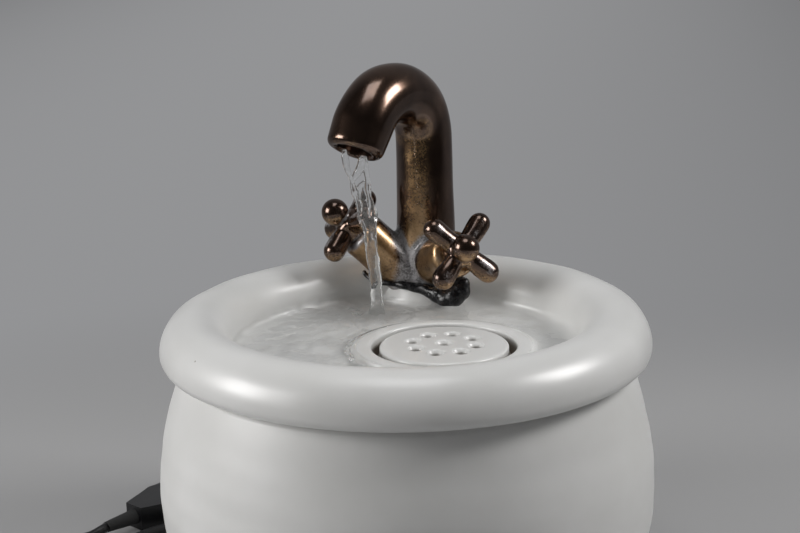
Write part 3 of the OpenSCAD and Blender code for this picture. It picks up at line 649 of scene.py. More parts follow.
def makeLead(c):
    # one round jacket from the notch in the pot's rim to the plug
    coil = coilLine(c)
    line = smoothRoute(np.concatenate([c["route"], coil[::6], coil[-1:], c["toPlug"]]), 2.0)
    line = evenly(line, int(steps(line).sum() / c["step"]))
    a = around(c["sides"])
    # two faint flutes run along it
    off = np.minimum(np.abs(a - np.pi / 2), np.abs(a - 3 * np.pi / 2))
    flute = 1 - c["flute"] * bell(off, c["fluteWidth"])
    radii = np.broadcast_to(c["diameter"] / 2 * flute, (len(line), len(a)))
    obj = putMesh("mains_lead", *sweep(line, radii, len(a)))
    dress(obj, plain["cord jacket"], "pot")
    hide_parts("mains_cord", "cord_coil", "plug_cord")


makeLead(lead)

# the foot ring's points are counted from its outer edge
pot = {
    "belly": 127.6, "bellyHeight": 61.0, "height": 124.5,
    "rimDrop": 14.1, "rimPower": 1.85, "footDrop": 13.6, "footPower": 2.2,
    "wall": 7.0, "rimRound": 0.35, "floor": 8.0, "corner": 10.0, "footHollow": 3.0,
    "footRing": [(-10.4, 3.0), (-9.6, 2.6), (-9.0, 0.6), (-8.2, 0.0), (-0.6, 0.0), (1.0, 0.7)],
    "notchTurn": 25.0, "notchHalf": 6.0, "notchDepth": 20.5,
    "ridges": [(0.14, 5.6), (0.07, 2.3)], "sway": 0.4, "shrink": 0.3, "flat": 0.9, "columns": 720,
}


def potRadius(z, p=pot):
    # outer radius: the belly's, less a power of the distance above or below the belly
    above = np.clip((z - p["bellyHeight"]) / (p["height"] - p["bellyHeight"]), 0, None)
    below = np.clip((p["bellyHeight"] - z) / p["bellyHeight"], 0, None)
    return p["belly"] - p["rimDrop"] * above ** p["rimPower"] - p["footDrop"] * below ** p["footPower"]


def makePot(p):
    # the wall's profile turned round Z, with faint throwing ridges and a notch for the lead
    high, wall, floor, corner = p["height"], p["wall"], p["floor"], p["corner"]
    rim, mouth, foot = wall * p["rimRound"], potRadius(high), potRadius(0.0) - 2
    z = np.linspace(2.0, high - rim, 96)
    zIn = np.linspace(high - rim, floor + corner, 60)[1:]
    inside = np.stack([potRadius(zIn) - wall, zIn], -1)
    bend = ellipseArc((inside[-1, 0] - corner, floor + corner), corner, corner, 0, -90, 10)[1:]
    under = [(0, p["footHollow"]), (60, p["footHollow"])] + [(foot + x, y) for x, y in p["footRing"]]
    profile = np.concatenate([
        under,
        np.stack([potRadius(z), z], -1),
        ellipseArc((mouth - rim, high - rim), rim, rim, 0, 90, 7)[1:],
        ellipseArc((mouth - wall + rim, high - rim), rim, rim, 90, 180, 7),
        inside,
        bend,
        np.stack([np.linspace(bend[-1, 0], 20, 12)[1:], np.full(11, floor)], -1),
        [(0, floor)],
    ])
    # the outside's share of the ridges, which fade out towards the foot and the rim
    outer = np.zeros(len(profile))
    outer[len(under) : len(under) + len(z)] = np.sin(np.linspace(0, np.pi, len(z))) ** 0.6
    outer = outer[1:-1, None]
    turn = math.radians(p["notchTurn"])
    (broad, broadStep), (fine, fineStep) = p["ridges"]

    def thrown(q):
        x, y, height = q[..., 0], q[..., 1], q[..., 2]
        a = np.arctan2(y, x)
        ridge = broad * np.sin(height / broadStep + a) + fine * np.sin(height / fineStep + 2 * a + 1.0)
        slow = p["sway"] * waves(q, 11, 160.0, 8)
        # the thrower's hand left the right side a little flatter
        flat = p["flat"] * np.clip(np.cos(a), 0, None) ** 2
        grow = 1 + outer * (ridge + slow - p["shrink"] - flat) / np.maximum(np.hypot(x, y), 1)
        x, y = x * grow, y * grow
        across = x * math.cos(turn) + y * math.sin(turn)
        behind = y * math.cos(turn) - x * math.sin(turn)
        half = p["notchHalf"]
        low = high - p["notchDepth"] + half - np.sqrt(np.clip(half**2 - across**2, 0, None))
        cut = (np.abs(across) < half) & (behind > 0)
        return np.stack([x, y, np.where(cut, np.minimum(height, low), height)], -1)

    obj = putMesh("reservoir_pot", *spin(profile, p["columns"], thrown))
    dress(obj, potGlaze, "pot")
    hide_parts("pot")


makePot(pot)
print("pot made")

# the dish's heights are counted from the pot's rim
dish = {
    "seat": 124.5, "drain": (20.5, -8.5), "lip": 125.0, "crest": 107.0, "crestHeight": 26.8,
    "lipHeight": 7.0, "lipUnder": (7.0, 6.0), "inner": 18.0, "slopeHeight": 9.5, "fillet": 10.0,
    "floor": 1.5, "thick": 7.0,
    "hole": 29.5, "holeEdge": 0.7, "recess": 36.8, "ringEdge": 1.6, "ledge": 3.3, "groove": -3.3,
    "weir": 42.3, "weirHeight": 8.7, "weirSlope": 5.0, "flat": (34.0, 79.0),
    "neck": [(114.5, 1.0), (113.2, 0.8), (112.5, 0.3), (112.2, 0.0), (109.0, 0), (105.4, 0)],
    "locator": [(105.3, -0.4), (105.3, -4.2), (104.5, -5), (102.1, -5), (101.3, -4.2)],
    "back": [(101.3, 2.6), (102.0, 4.4), (107.5, 7.4)], "hollow": (103.25, 6.75, 9.8),
    "front": [(94.0, 3.0), (89.0, -2.9), (87.0, -4.3)],
    "tap": (0.0, 93.0), "pad": 18.3, "padSlope": 7.5, "padHeight": 15.5, "padSoft": 2.2, "padReach": 40.0,
    "rimFrom": 84.0, "rimOver": 20.0, "sway": 0.26, "corner": 2.7, "heave": 0.85, "columns": 448,
}


def dishRows(d):
    # rings of the dish's closed section, as (share of the drain's offset, radius, height)
    floor, under, bend = d["floor"], d["floor"] - d["thick"], d["slopeHeight"]
    hole, recess, weir, crest, high = d["hole"], d["recess"], d["weir"], d["crest"], d["crestHeight"]
    ledge, groove, top = d["ledge"], d["groove"], d["weirHeight"]
    edge, soft = d["holeEdge"], d["ringEdge"]
    (flatIn, flatOut), lipHeight, (lipIn, lipDeep) = d["flat"], d["lipHeight"], d["lipUnder"]
    hollow, hollowHalf, hollowDeep = d["hollow"]

    def rows(share, parts):
        points = np.concatenate([np.asarray(part, float) for part in parts])
        return np.column_stack([np.full(len(points), float(share)), points])

    def glide(share, radius, height):
        return np.column_stack([share, radius, np.full(len(share), height)])

    # from the hole up over the ledge, the groove and the raised ring, down to the floor
    near = rows(1, [
        [(hole + 0.6, under), (hole, under + 0.6), (hole, under + 4), (hole, ledge - 0.8)],
        ellipseArc((hole + edge, ledge - edge), edge, edge, 180, 90, 4),
        [(hole + 2.0, ledge), (hole + 3.6, ledge), (hole + 3.9, ledge - 0.4)],
        [(hole + 4.1, groove + 0.5), (hole + 4.6, groove), (recess - 0.5, groove)],
        [(recess, groove + 0.5), (recess, ledge), (recess, ledge + 2.2)],
        ellipseArc((recess + soft, top - soft), soft, soft, 180, 90, 7),
        [(recess + 2.6, top + 0.1), (weir - 1.5, top + 0.1)],
        ellipseArc((weir, floor + 0.6), d["weirSlope"], top - floor - 0.6, 90, 0, 11),
        ellipseArc((weir + d["weirSlope"] + soft, floor + soft), soft, soft, 195, 270, 5)[1:],
    ])
    t = np.linspace(0, 1, 20)[1:-1]
    middle = glide(1 - ease(t), near[-1, 1] + (flatOut - near[-1, 1]) * t, floor)
    # the slope, the rolled rim and its lip, then underneath to the seat and its locating ring
    far = rows(0, [
        ellipseArc((crest - d["inner"] - d["fillet"], bend), d["fillet"], bend - floor, -90, 0, 13),
        ellipseArc((crest, bend), d["inner"], high - bend, 180, 90, 26)[1:],
        ellipseArc((crest, lipHeight), d["lip"] - crest, high - lipHeight, 90, 0, 30)[1:],
        ellipseArc((d["lip"] - lipIn, lipHeight), lipIn, lipDeep, 0, -90, 12)[1:],
        d["neck"] + d["locator"] + d["back"],
        ellipseArc((hollow, bend), hollowHalf, hollowDeep, 0, 180, 16),
        d["front"] + [(flatOut, under)],
    ])
    t = np.linspace(0, 1, 9)[1:-1]
    below = glide(ease(t), flatOut + (flatIn - flatOut) * t, under)
    last = rows(1, [[(flatIn, under), (hole + 2, under)]])
    return np.concatenate([near, middle, far, below, last]) + d["seat"] * skyward


def fromTap(x, y, d=dish):
    return np.hypot(x - d["tap"][0], y - d["tap"][1])


def padTop(x, y, d=dish):
    # height of the tap's pad: flat under the column, then a cone down to the floor
    down = np.clip((fromTap(x, y) - d["pad"]) / d["padSlope"], 0, 2)
    return d["seat"] + d["padHeight"] - (d["padHeight"] - d["floor"]) * down


def makeDish(d):
    # rings that glide from the drain's centre to the pot's, then over the rim and back underneath
    rows = dishRows(d)
    share, radius, height = rows[:, :1], rows[:, 1:2], rows[:, 2:]
    a = around(d["columns"])
    x = share * d["drain"][0] + radius * np.cos(a)
    y = share * d["drain"][1] + radius * np.sin(a)
    z = height + 0 * a
    upper = z > d["seat"] + d["floor"] - 0.5
    r = np.hypot(x, y)
    # the hand-rolled rim is never quite round or level
    rim = ease((r - d["rimFrom"]) / d["rimOver"]) * ease((z - d["seat"] - 0.5) / 5) * (share == 0)
    flex = waves(np.stack([x, y, z], -1), 7, 42.0, 12)
    # narrower at its two sides, lower at the left of the back and higher at the right of it
    corner = np.clip(np.sin(a), 0, None) * np.abs(np.cos(a)) * (np.cos(a) < 0)
    grow = rim * (0.15 * flex - d["sway"] * (1 + np.cos(2 * a)) - d["corner"] * corner) / np.maximum(r, 1)
    x, y = x * (1 + grow), y * (1 + grow)
    z = z + rim * (d["heave"] * np.clip(np.sin(a), 0, None) * (np.cos(a) - 0.33) + 0.12 * flex)
    soft = d["padSoft"]
    lifted = np.where(upper, soft * np.logaddexp(z / soft, padTop(x, y) / soft), z)
    z = z + ease((d["padReach"] - fromTap(x, y)) / 8) * (lifted - z)
    points = np.stack([x, y, z], -1).reshape(-1, 3)
    obj = outward(putMesh("lift_off_dish", points, [gridFaces(len(rows), len(a), wrapRows=True)]))
    # painted shade: the groove round the strainer is darkened brown, more the deeper it lies
    inDrain = (share == 1) & (radius < d["recess"] + 1)
    putAttribute(obj, "paintedShade", (inDrain * ease((d["seat"] + d["weirHeight"] - 2.0 - z) / 4.0)).ravel())
    dress(obj, whiteGlaze, "dish")
    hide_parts("dish")


makeDish(dish)

holes = {
    "turn": -19.0, "ring": 16.5, "count": 8, "firstAt": 10.0, "widen": 0.5, "reach": 6.0, "fade": 3.0,
    "voxel": 0.5, "rounds": 4,
}


def makeStrainer(h, d=dish):
    # the CAD plate with its edges rounded off as glaze leaves them, turned, and its holes pushed wider
    obj = putObject("strainer_plate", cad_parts["drain_strainer"].data.copy())
    bm = bmesh.new()
    bm.from_mesh(obj.data)
    bmesh.ops.remove_doubles(bm, verts=bm.verts, dist=1e-6)
    bm.to_mesh(obj.data)
    bm.free()
    obj.data.materials.clear()
    relax(fuse(obj, h["voxel"]), h["rounds"])
    p = readPoints(obj)
    turn = math.radians(h["turn"])
    x, y = (p[:, :2] - d["drain"]).T
    cos, sin = math.cos(turn), math.sin(turn)
    q = np.stack([x * cos - y * sin, x * sin + y * cos], -1)
    at = np.radians(h["firstAt"] + h["turn"]) + around(h["count"])
    middles = np.concatenate([[[0.0, 0.0]], h["ring"] * np.stack([np.cos(at), np.sin(at)], -1)])
    away = q[:, None] - middles
    far = np.linalg.norm(away, axis=-1, keepdims=True)
    push = h["widen"] * ease((h["reach"] - far) / h["fade"]) * away / np.maximum(far, 0.5)
    p[:, :2] = q + push.sum(1) + d["drain"]
    writePoints(obj, p)
    # painted shade: the insides of the holes are darkened brown, more the deeper they go
    deep = ease((p[:, 2].max() - 1.0 - p[:, 2]) / 3.0)
    putAttribute(obj, "paintedShade", deep * ease((h["reach"] - far.min(axis=(1, 2))) / 1.5))
    dress(obj, whiteGlaze, "strainer")
    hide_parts("drain_strainer")


makeStrainer(holes)
print("dish and strainer made")

tap = {
    "foot": (0.0, 93.0, 140.0), "columnFoot": 16.9, "neck": 15.6, "neckHeight": 60.0, "archHeight": 79.4,
    "arch": 29.0, "sweep": 148.0, "turn": 29.0, "nozzle": 15.5, "nozzleEnd": 14.8, "lip": 3.8,
    "mouth": 10.0, "mouthDepth": 9.0,
    "swell": 1.3, "swellFrom": 22.0, "swellOver": 28.0, "swellWay": (-0.99, -0.13, 0.0),
    "arm": 13.0, "shoulder": 4.0, "hub": 8.5, "hubLength": 12.0, "ball": 7.4, "ballNeck": (6.2, 4.5),
    "fingerRoot": 5.0, "fingerTip": 6.0, "bodySway": (0.28, 34.0), "crossSway": (0.2, 15.0),
    # the skins' voxel and rounds of smoothing
    "bodySkin": (0.75, 10), "crossSkin": (0.45, 8), "ballSkin": (0.4, 4),
    "left": {
        "turn": 69.0, "tilt": 43.0, "root": 134.0, "reach": 58.0, "roll": 64.0, "finger": 23.8,
        "ballOut": 11.5, "ballAside": 0.0, "seam": 4.6, "gold": 0.70, "collar": 0.5,
    },
    "right": {
        "turn": -30.0, "tilt": 22.0, "root": 147.0, "reach": 51.5, "roll": 44.0, "finger": 24.6,
        "ballOut": 9.5, "ballAside": 1.5, "seam": 3.0, "gold": 0.72, "collar": 0.2,
    },
    # the column's golden strip, a painted reflection of the key lamp: its middle's azimuth, and half width
    # and strength by height
    "stripAt": -102.0,
    "stripHalf": [(0, 38.0), (30, 30.0), (60, 26.0), (105, 24.0)],
    "stripGold": [(0, 0.85), (25, 0.72), (45, 0.54), (78, 0.48), (92, 0.3), (104, 0.0)],
    "barrel": 16.2, "seamDown": 2.4, "swirl": (12.0, 6.0, 6.5, 3.2), "swirlGold": 0.36, "mouthGold": 0.15,
}


def armFrame(t, a):
    # an arm's root, and its axis, side and up directions
    yaw, tilt = math.radians(a["turn"]), math.radians(a["tilt"])
    axis = np.array([-math.sin(yaw) * math.cos(tilt), -math.cos(yaw) * math.cos(tilt), math.sin(tilt)])
    side = unit(np.cross(axis, skyward))
    return np.array([t["foot"][0], t["foot"][1], a["root"]]), axis, side, np.cross(side, axis)


def spoutWay(t):
    # the level direction in which the spout points
    yaw = math.radians(t["turn"])
    return np.array([-math.sin(yaw), -math.cos(yaw), 0])


def archLine(t):
    # column, arch and nozzle as one line, with the radius at each point
    ahead = spoutWay(t)
    foot = np.array(t["foot"])
    rise = np.linspace(-1.5, t["archHeight"], 60)[:-1]
    column = foot + rise[:, None] * skyward
    a = np.radians(np.linspace(0, t["sweep"], 70))[:, None]
    bend = foot + t["archHeight"] * skyward + t["arch"] * ((1 - np.cos(a)) * ahead + np.sin(a) * skyward)
    end = math.radians(t["sweep"])
    down = math.sin(end) * ahead + math.cos(end) * skyward
    # the lip turns in over a quarter circle, and the mouth runs back inside the nozzle
    tip = np.radians(np.linspace(15, 90, 7))
    straight = t["nozzle"] - t["lip"]
    run = np.concatenate([np.linspace(0, straight, 12)[1:], straight + t["lip"] * np.sin(tip)])
    back = np.concatenate([np.full(2, t["nozzle"]), t["nozzle"] - np.linspace(0.8, t["mouthDepth"], 8)])
    line = np.concatenate([column, bend, bend[-1] + np.concatenate([run, back])[:, None] * down])
    r = np.concatenate([
        t["columnFoot"] + (t["neck"] - t["columnFoot"]) * ease(rise / t["neckHeight"]),
        np.full(len(a), t["neck"]),
        t["neck"] + (t["nozzleEnd"] - t["neck"]) * run[:11] / run[10],
        t["nozzleEnd"] - t["lip"] * (1 - np.cos(tip)),
        [t["mouth"] + 0.8, t["mouth"] + 0.2],
        np.linspace(t["mouth"], t["mouth"] - 1.0, 8),
    ])
    return line, r, np.cross(ahead, skyward), down


def archShell(t):
    # the arch's skin, which turns in at the nozzle to make its open mouth
    line, r, across, down = archLine(t)
    way = np.concatenate([tangents(line[:-10]), np.broadcast_to(down, (10, 3))])
    up = np.cross(across, way)[:, None]
    a = around(72)[None, :, None]
    ring = r[:, None, None] * (np.cos(a) * across + np.sin(a) * up)
    return closedSkin(line[:, None] + ring, line[0], line[-1])


def armShell(t, a):
    # a stub arm with a rounded shoulder where its cross begins
    root, axis, side, _ = armFrame(t, a)
    shoulder = t["shoulder"]
    straight = a["reach"] - t["hubLength"] / 2 - shoulder
    turn = np.radians(np.linspace(0, 90, 8))
    run = np.concatenate([np.linspace(0, straight, 30), straight + shoulder * np.sin(turn)])
    r = np.concatenate([np.full(30, t["arm"]), t["arm"] - shoulder * (1 - np.cos(turn))])
    return sweep(root + run[:, None] * axis, r, 56, side=side)


def crossShells(t, a):
    # a hub and four fingers with round tips
    root, axis, side, up = armFrame(t, a)
    centre, half, tip = root + a["reach"] * axis, t["hubLength"] / 2, t["fingerTip"]
    run = np.array([-half - 0.6, -half, -half + 1.5, 0, half - 2.0, half - 0.6, half])
    r = t["hub"] + np.array([-1.0, 0, 0.3, 0, -0.4, -1.8, -3.4])
    shells = [sweep(centre + run[:, None] * axis, r, 40, side=side)]
    straight = a["finger"] - tip
    turn = np.radians(np.linspace(0, 88, 9))
    run = np.concatenate([np.linspace(0, straight, 18), straight + tip * np.sin(turn)])
    slim = t["fingerRoot"] + (tip - t["fingerRoot"]) * ease(run[:18] / straight)
    r = np.concatenate([slim, tip * np.cos(turn)])
    for k in range(4):
        roll = math.radians(a["roll"] + 90 * k)
        way = math.cos(roll) * side + math.sin(roll) * up
        shells.append(sweep(centre + run[:, None] * way, r, 28, side=axis))
    return shells


def ballShells(t, a):
    # a ball and its short neck
    root, axis, side, _ = armFrame(t, a)
    centre = root + (a["reach"] + a["ballOut"]) * axis + a["ballAside"] * side
    turn = np.radians(np.linspace(-88, 88, 22))
    neck = centre + np.linspace(-a["ballOut"] + 4.5, -2, 6)[:, None] * axis
    return [
        sweep(centre + t["ball"] * np.sin(turn)[:, None] * axis, t["ball"] * np.cos(turn), 36, side=side),
        sweep(neck, np.linspace(*t["ballNeck"], 6), 30, side=side),
    ]


def tubeDistance(points, start, end, radius):
    # distance of each point from the skin of a straight tube
    way = end - start
    s = np.clip((points - start) @ way / (way @ way), 0, 1)
    return np.linalg.norm(points - start - s[:, None] * way, axis=1) - radius


def glazeMarks(obj, t):
    # marks where the glaze pooled, in the seams, and a painted reflection: gold where the surface faces the
    # lamps and the bright dish
    p, n = readPoints(obj), readVectors(obj, "normal")
    foot = np.array(t["foot"])
    high = foot + t["archHeight"] * skyward
    column = tubeDistance(p, foot, high, t["barrel"])
    seam = np.zeros(len(p))
    paintedSheen = np.zeros(len(p))
    for a in (t["left"], t["right"]):
        root, axis, _, up = armFrame(t, a)
        arm = tubeDistance(p, root, root + a["reach"] * axis, t["arm"])
        # the seam reaches further along the arm than round the column
        near = (np.clip(column, -1, None) / a["seam"]) ** 2 + (np.clip(arm, -1, None) / t["seamDown"]) ** 2
        seam = np.maximum(seam, np.exp(-near / 2))
        along = (p - root) @ axis
        away = np.linalg.norm(p - root - along[:, None] * axis, axis=1)
        seam = np.maximum(seam, a["collar"] * bell(along - a["reach"] + 7.0, 1.7) * (away < 15))
        # painted reflection: an arm is golden, but for a dark line along its top, which faces away from the
        # light
        topward = ease(((n @ up) - 0.75) / 0.2)
        armSheen = ease((3.0 - arm) / 2.5) * ease((column - 0.9 * a["seam"]) / 5) * (1 - topward)
        paintedSheen = np.maximum(paintedSheen, a["gold"] * armSheen)
    # painted reflection: the column is golden on its left front, which faces the key lamp, in a strip that
    # narrows upwards
    height = p[:, 2] - foot[2]
    azimuth = np.degrees(np.arctan2(n[:, 1], n[:, 0]))
    half, gold = (np.interp(height, *zip(*t[word])) for word in ("stripHalf", "stripGold"))
    strip = ease((half + 14 - np.abs((azimuth - t["stripAt"] + 180) % 360 - 180)) / 28)
    paintedSheen = np.maximum(paintedSheen, strip * gold * (np.abs(column) < 6))
    # painted reflection: the underside of the arch, above the column, has a golden swirl where it mirrors
    # the rim
    hub = high + t["arch"] * spoutWay(t)
    inward, rise = (hub - p) @ spoutWay(t), p[:, 2] - hub[2]
    inAt, upAt, ring, width = t["swirl"]
    swirl = bell(np.hypot(inward - inAt, rise - upAt) - ring, width) * (rise > -6)
    paintedSheen = np.maximum(paintedSheen, t["swirlGold"] * swirl)
    # painted light: the nozzle's lip, whose rounding catches light from below, is a little golden
    line, _, _, down = archLine(t)
    lip = p - line[-10]
    edge = bell(lip @ down + 0.6, 1.8) * (np.linalg.norm(lip, axis=1) < 17)
    paintedSheen = np.maximum(paintedSheen, t["mouthGold"] * edge)
    putAttribute(obj, "seam", seam)
    putAttribute(obj, "paintedSheen", paintedSheen)


def nozzleSwell(t, p, n):
    # the nozzle swells to its left, more the further it is ahead of the column
    ahead = (p - np.array(t["foot"])) @ spoutWay(t)
    left = np.array(t["swellWay"])
    share = ease((ahead - t["swellFrom"]) / t["swellOver"])
    return (t["swell"] * share * np.clip(n @ left, 0, 1))[:, None] * left


def makeTap(t):
    # column, arch and arms fused into one clay body with soft joints
    shells = [archShell(t), armShell(t, t["left"]), armShell(t, t["right"])]
    body = fusedShells("pour_tap", shells, *t["bodySkin"])
    p, n = readPoints(body), readVectors(body, "normal")
    (bodySway, bodySize), (crossSway, crossSize) = t["bodySway"], t["crossSway"]
    writePoints(body, p + n * (bodySway * waves(p, 21, bodySize))[:, None] + nozzleSwell(t, p, n))
    glazeMarks(body, t)
    dress(body, bronzeGlaze, "dish")
    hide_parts("tap")
    for word in ("left", "right"):
        a = t[word]
        cross = fusedShells(word + "_cross", crossShells(t, a), *t["crossSkin"])
        pushOut(cross, crossSway * waves(readPoints(cross), 31, crossSize))
        ball = fusedShells(word + "_ball", ballShells(t, a), *t["ballSkin"])
        root, axis, _, _ = armFrame(t, a)
        for obj, node, amount in ((cross, "_cross_handle", 0.5), (ball, "_handle_ball", 0.62)):
            out = (readPoints(obj) - root) @ axis - a["reach"]
            putAttribute(obj, "seam", a["collar"] * bell(out + 6, 2.0) + 0.45 * bell(out - 6.5, 1.1))
            # painted reflection: the lower halves are lighter, as they face the bright dish
            putAttribute(obj, "paintedSheen", amount * ease((0.25 - readVectors(obj, "normal")[:, 2]) / 0.9))
            dress(obj, bronzeGlaze, "dish")
            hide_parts(word + node)


makeTap(tap)
print("tap made")

# the bead in front of the tap's foot as (x, y, z, radius), the line of the bead behind it,
# and blobs of sealant as (x, y, z, half width, half depth, half height)
sealant = {
    "bead": [
        (-34.0, 85.0, 146.0, 1.1), (-32.0, 83.5, 143.4, 1.9), (-27.0, 80.5, 141.6, 1.5),
        (-19.0, 77.3, 140.9, 1.6), (-9.0, 74.6, 140.6, 1.9), (0.0, 73.0, 139.2, 2.6),
        (6.0, 71.0, 137.4, 3.4), (12.0, 70.0, 136.0, 4.2),
    ],
    "behind": [
        (17.0, 74.0, 140.6), (18.0, 86.0, 140.6), (16.0, 101.0, 140.6), (6.0, 110.0, 140.6),
        (-8.0, 109.0, 140.6), (-17.0, 99.0, 140.6), (-22.0, 86.0, 141.0),
    ],
    "lump": [
        (10.5, 69.0, 138.5, 4.6, 4.2, 3.6), (14.5, 67.0, 135.3, 6.0, 5.2, 4.8),
        (18.5, 66.0, 137.0, 5.6, 5.0, 5.6), (22.5, 66.5, 140.5, 4.4, 4.6, 5.4),
        (24.0, 67.5, 144.0, 2.8, 3.6, 3.6), (20.0, 70.0, 143.0, 6.0, 5.0, 5.2),
        (17.0, 73.0, 138.5, 7.0, 6.0, 6.5), (25.6, 67.5, 144.3, 1.5, 1.8, 1.6),
        (12.5, 66.5, 133.6, 3.0, 3.0, 2.2),
    ],
    "behindWidth": 2.0, "skin": (0.55, 14), "swell": 0.35, "lumps": (0.35, 9.0), "wrinkles": (0.10, 3.4),
}


def makeSealantBead(s):
    # a smeared bead round the foot and a lump that hangs from the right arm, pushed about by hand
    bead = np.array(s["bead"])
    line = smoothRoute(bead[:, :3], 1.0)
    width = np.interp(np.linspace(0, 1, len(line)), np.linspace(0, 1, len(bead)), bead[:, 3])
    ring = smoothRoute(s["behind"], 1.5)
    shells = [
        sweep(line, width * (1 + 0.15 * waves(line, 3, 7.0)), 20),
        sweep(ring, s["behindWidth"] + 0.4 * waves(ring, 4, 7.0), 16),
    ]
    shells += [egg(np.array(b[:3]), np.array(b[3:])) for b in s["lump"]]
    obj = fusedShells("sealant_smear", shells, *s["skin"])
    p = readPoints(obj)
    (lumps, lumpSize), (wrinkles, wrinkleSize) = s["lumps"], s["wrinkles"]
    pushOut(obj, s["swell"] + lumps * waves(p, 8, lumpSize) + wrinkles * waves(p, 9, wrinkleSize))
    dress(obj, sealantBlack, "dish")
    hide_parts("sealant_bead")


makeSealantBead(sealant)
print("sealant made")

# the underside's rings as (share of the way outwards, share of the depth above the floor)
pool = {
    "level": 132.5, "outer": 89.3, "inner": 43.9, "sunk": 0.35, "impact": (-20.8, 46.0),
    "wobble": (1.6, 24.0), "rings": 0.30, "ringLength": 6.6, "ringReach": 26.0,
    "fan": 0.95, "fanWay": 212.0, "fanReach": (22.0, 34.0), "slow": (0.42, 17.0), "chop": (0.10, 5.0),
    # rings round the stream: height, radius, half width, unevenness, lobes and where they start
    "crown": [(1.1, 5.2, 1.5, 0.7, 5, 1.0), (-0.5, 8.6, 2.2, 0, 0, 0), (0.5, 12.6, 2.2, 0.5, 7, 2.0)],
    "shoreFade": 9.0, "meniscus": (0.4, 1.5),
    "span": 3.2, "gather": 6.0, "patches": (0.34, 5.5), "slopeShade": 0.42, "columns": 640, "count": 66,
    "under": [
        (0.985, 0.62), (0.94, 0.2), (0.85, 0.0), (0.6, 0.0), (0.35, 0.0), (0.12, 0.0),
        (0.045, 0.25), (0.012, 0.65),
    ],
}


def poolHeight(x, y, edge, p):
    # rings that run out from the stream and die away, a fan of streaks to its left, and slow swells
    dx, dy = x - p["impact"][0], y - p["impact"][1]
    r = np.hypot(dx, dy)
    a = np.arctan2(dy, dx)
    flat = np.stack([x, y], -1)
    (wobble, wobbleSize), (fanAt, fanWidth) = p["wobble"], p["fanReach"]
    (slow, slowSize), (chop, chopSize), (rise, shore) = p["slow"], p["chop"], p["meniscus"]
    bent = r + wobble * waves(flat, 41, wobbleSize)
    rings = p["rings"] * np.sin(2 * np.pi * bent / p["ringLength"]) * bell(r, p["ringReach"]) * ease(r / 4)
    leftward = ease((np.cos(a - math.radians(p["fanWay"])) + 0.35) / 1.1)
    streaks = waves(np.stack([np.cos(a) * 9, np.sin(a) * 9, r / 9], -1), 42, 1.7, 18)
    fan = p["fan"] * leftward * streaks * ease((r - 3) / 8) * bell(r - fanAt, fanWidth)
    swell = slow * waves(flat, 43, slowSize) * (0.35 + 0.65 * leftward)
    ripples = chop * waves(flat, 44, chopSize) * (0.25 + 0.75 * leftward)
    # a crown where the stream goes in, a dip round it and a low ring outside that
    crown = sum(
        high * bell(r - at, half) * (1 + uneven * np.sin(lobes * a + start))
        for high, at, half, uneven, lobes, start in p["crown"]
    )
    moved = (rings + fan + swell + ripples + crown) * ease(edge / p["shoreFade"])
    return p["level"] + moved + rise * bell(edge, shore)


def makePool(p, d=dish):
    # nested rings from the raised ring round the strainer to the slope of the rim, closed underneath
    a = around(p["columns"])

    def ringsAt(t):
        x = (1 - t) * (d["drain"][0] + p["inner"] * np.cos(a)) + t * p["outer"] * np.cos(a)
        return x, (1 - t) * (d["drain"][1] + p["inner"] * np.sin(a)) + t * p["outer"] * np.sin(a)

    t = np.linspace(0, 1, p["count"])[:, None]
    x, y = ringsAt(t)
    edge = np.minimum(t, 1 - t) * np.hypot(x[-1] - x[0], y[-1] - y[0])
    top = poolHeight(x, y, edge, p)
    z = top + 0.7 * bell(np.maximum(fromTap(x, y) - 21.5, 0), 1.6)
    # the underside is sunk a little into the floor and the slopes
    low = np.array(p["under"])
    x2, y2 = ringsAt(low[:, :1])
    bottom = d["seat"] + d["floor"] - p["sunk"]
    z2 = bottom + low[:, 1:] * (p["level"] - bottom) + 0 * a
    points = np.concatenate([np.stack([x, y, z], -1), np.stack([x2, y2, z2], -1)]).reshape(-1, 3)
    obj = outward(putMesh("pool_water", points, [gridFaces(len(t) + len(low), len(a), wrapRows=True)]))
    # how hollow or crested the surface is over a span of a few millimetres
    ways = ((1, 0), (-1, 0), (0, 1), (0, -1))
    beside = sum(poolHeight(x + i * p["span"], y + j * p["span"], edge, p) for i, j in ways)
    crest = (top - beside / 4) * ease((edge - 1.5) / 8)
    # slow patches of light, longer from side to side, and less light over the slope at the left
    bright, patchSize = p["patches"]
    patches = waves(np.stack([x * 0.45, y], -1), 45, patchSize, 20) * (0.35 + 0.65 * ease((12 - x) / 40))
    slope = bell(t - 1, 0.12) * ease((20 - x) / 60)
    gather = 0.5 + p["gather"] * crest + bright * patches - p["slopeShade"] * slope
    putAttribute(obj, "gather", np.concatenate([gather, 0.5 + 0 * x2]).ravel())
    dress(obj, poolWater, "dish")


makePool(pool)

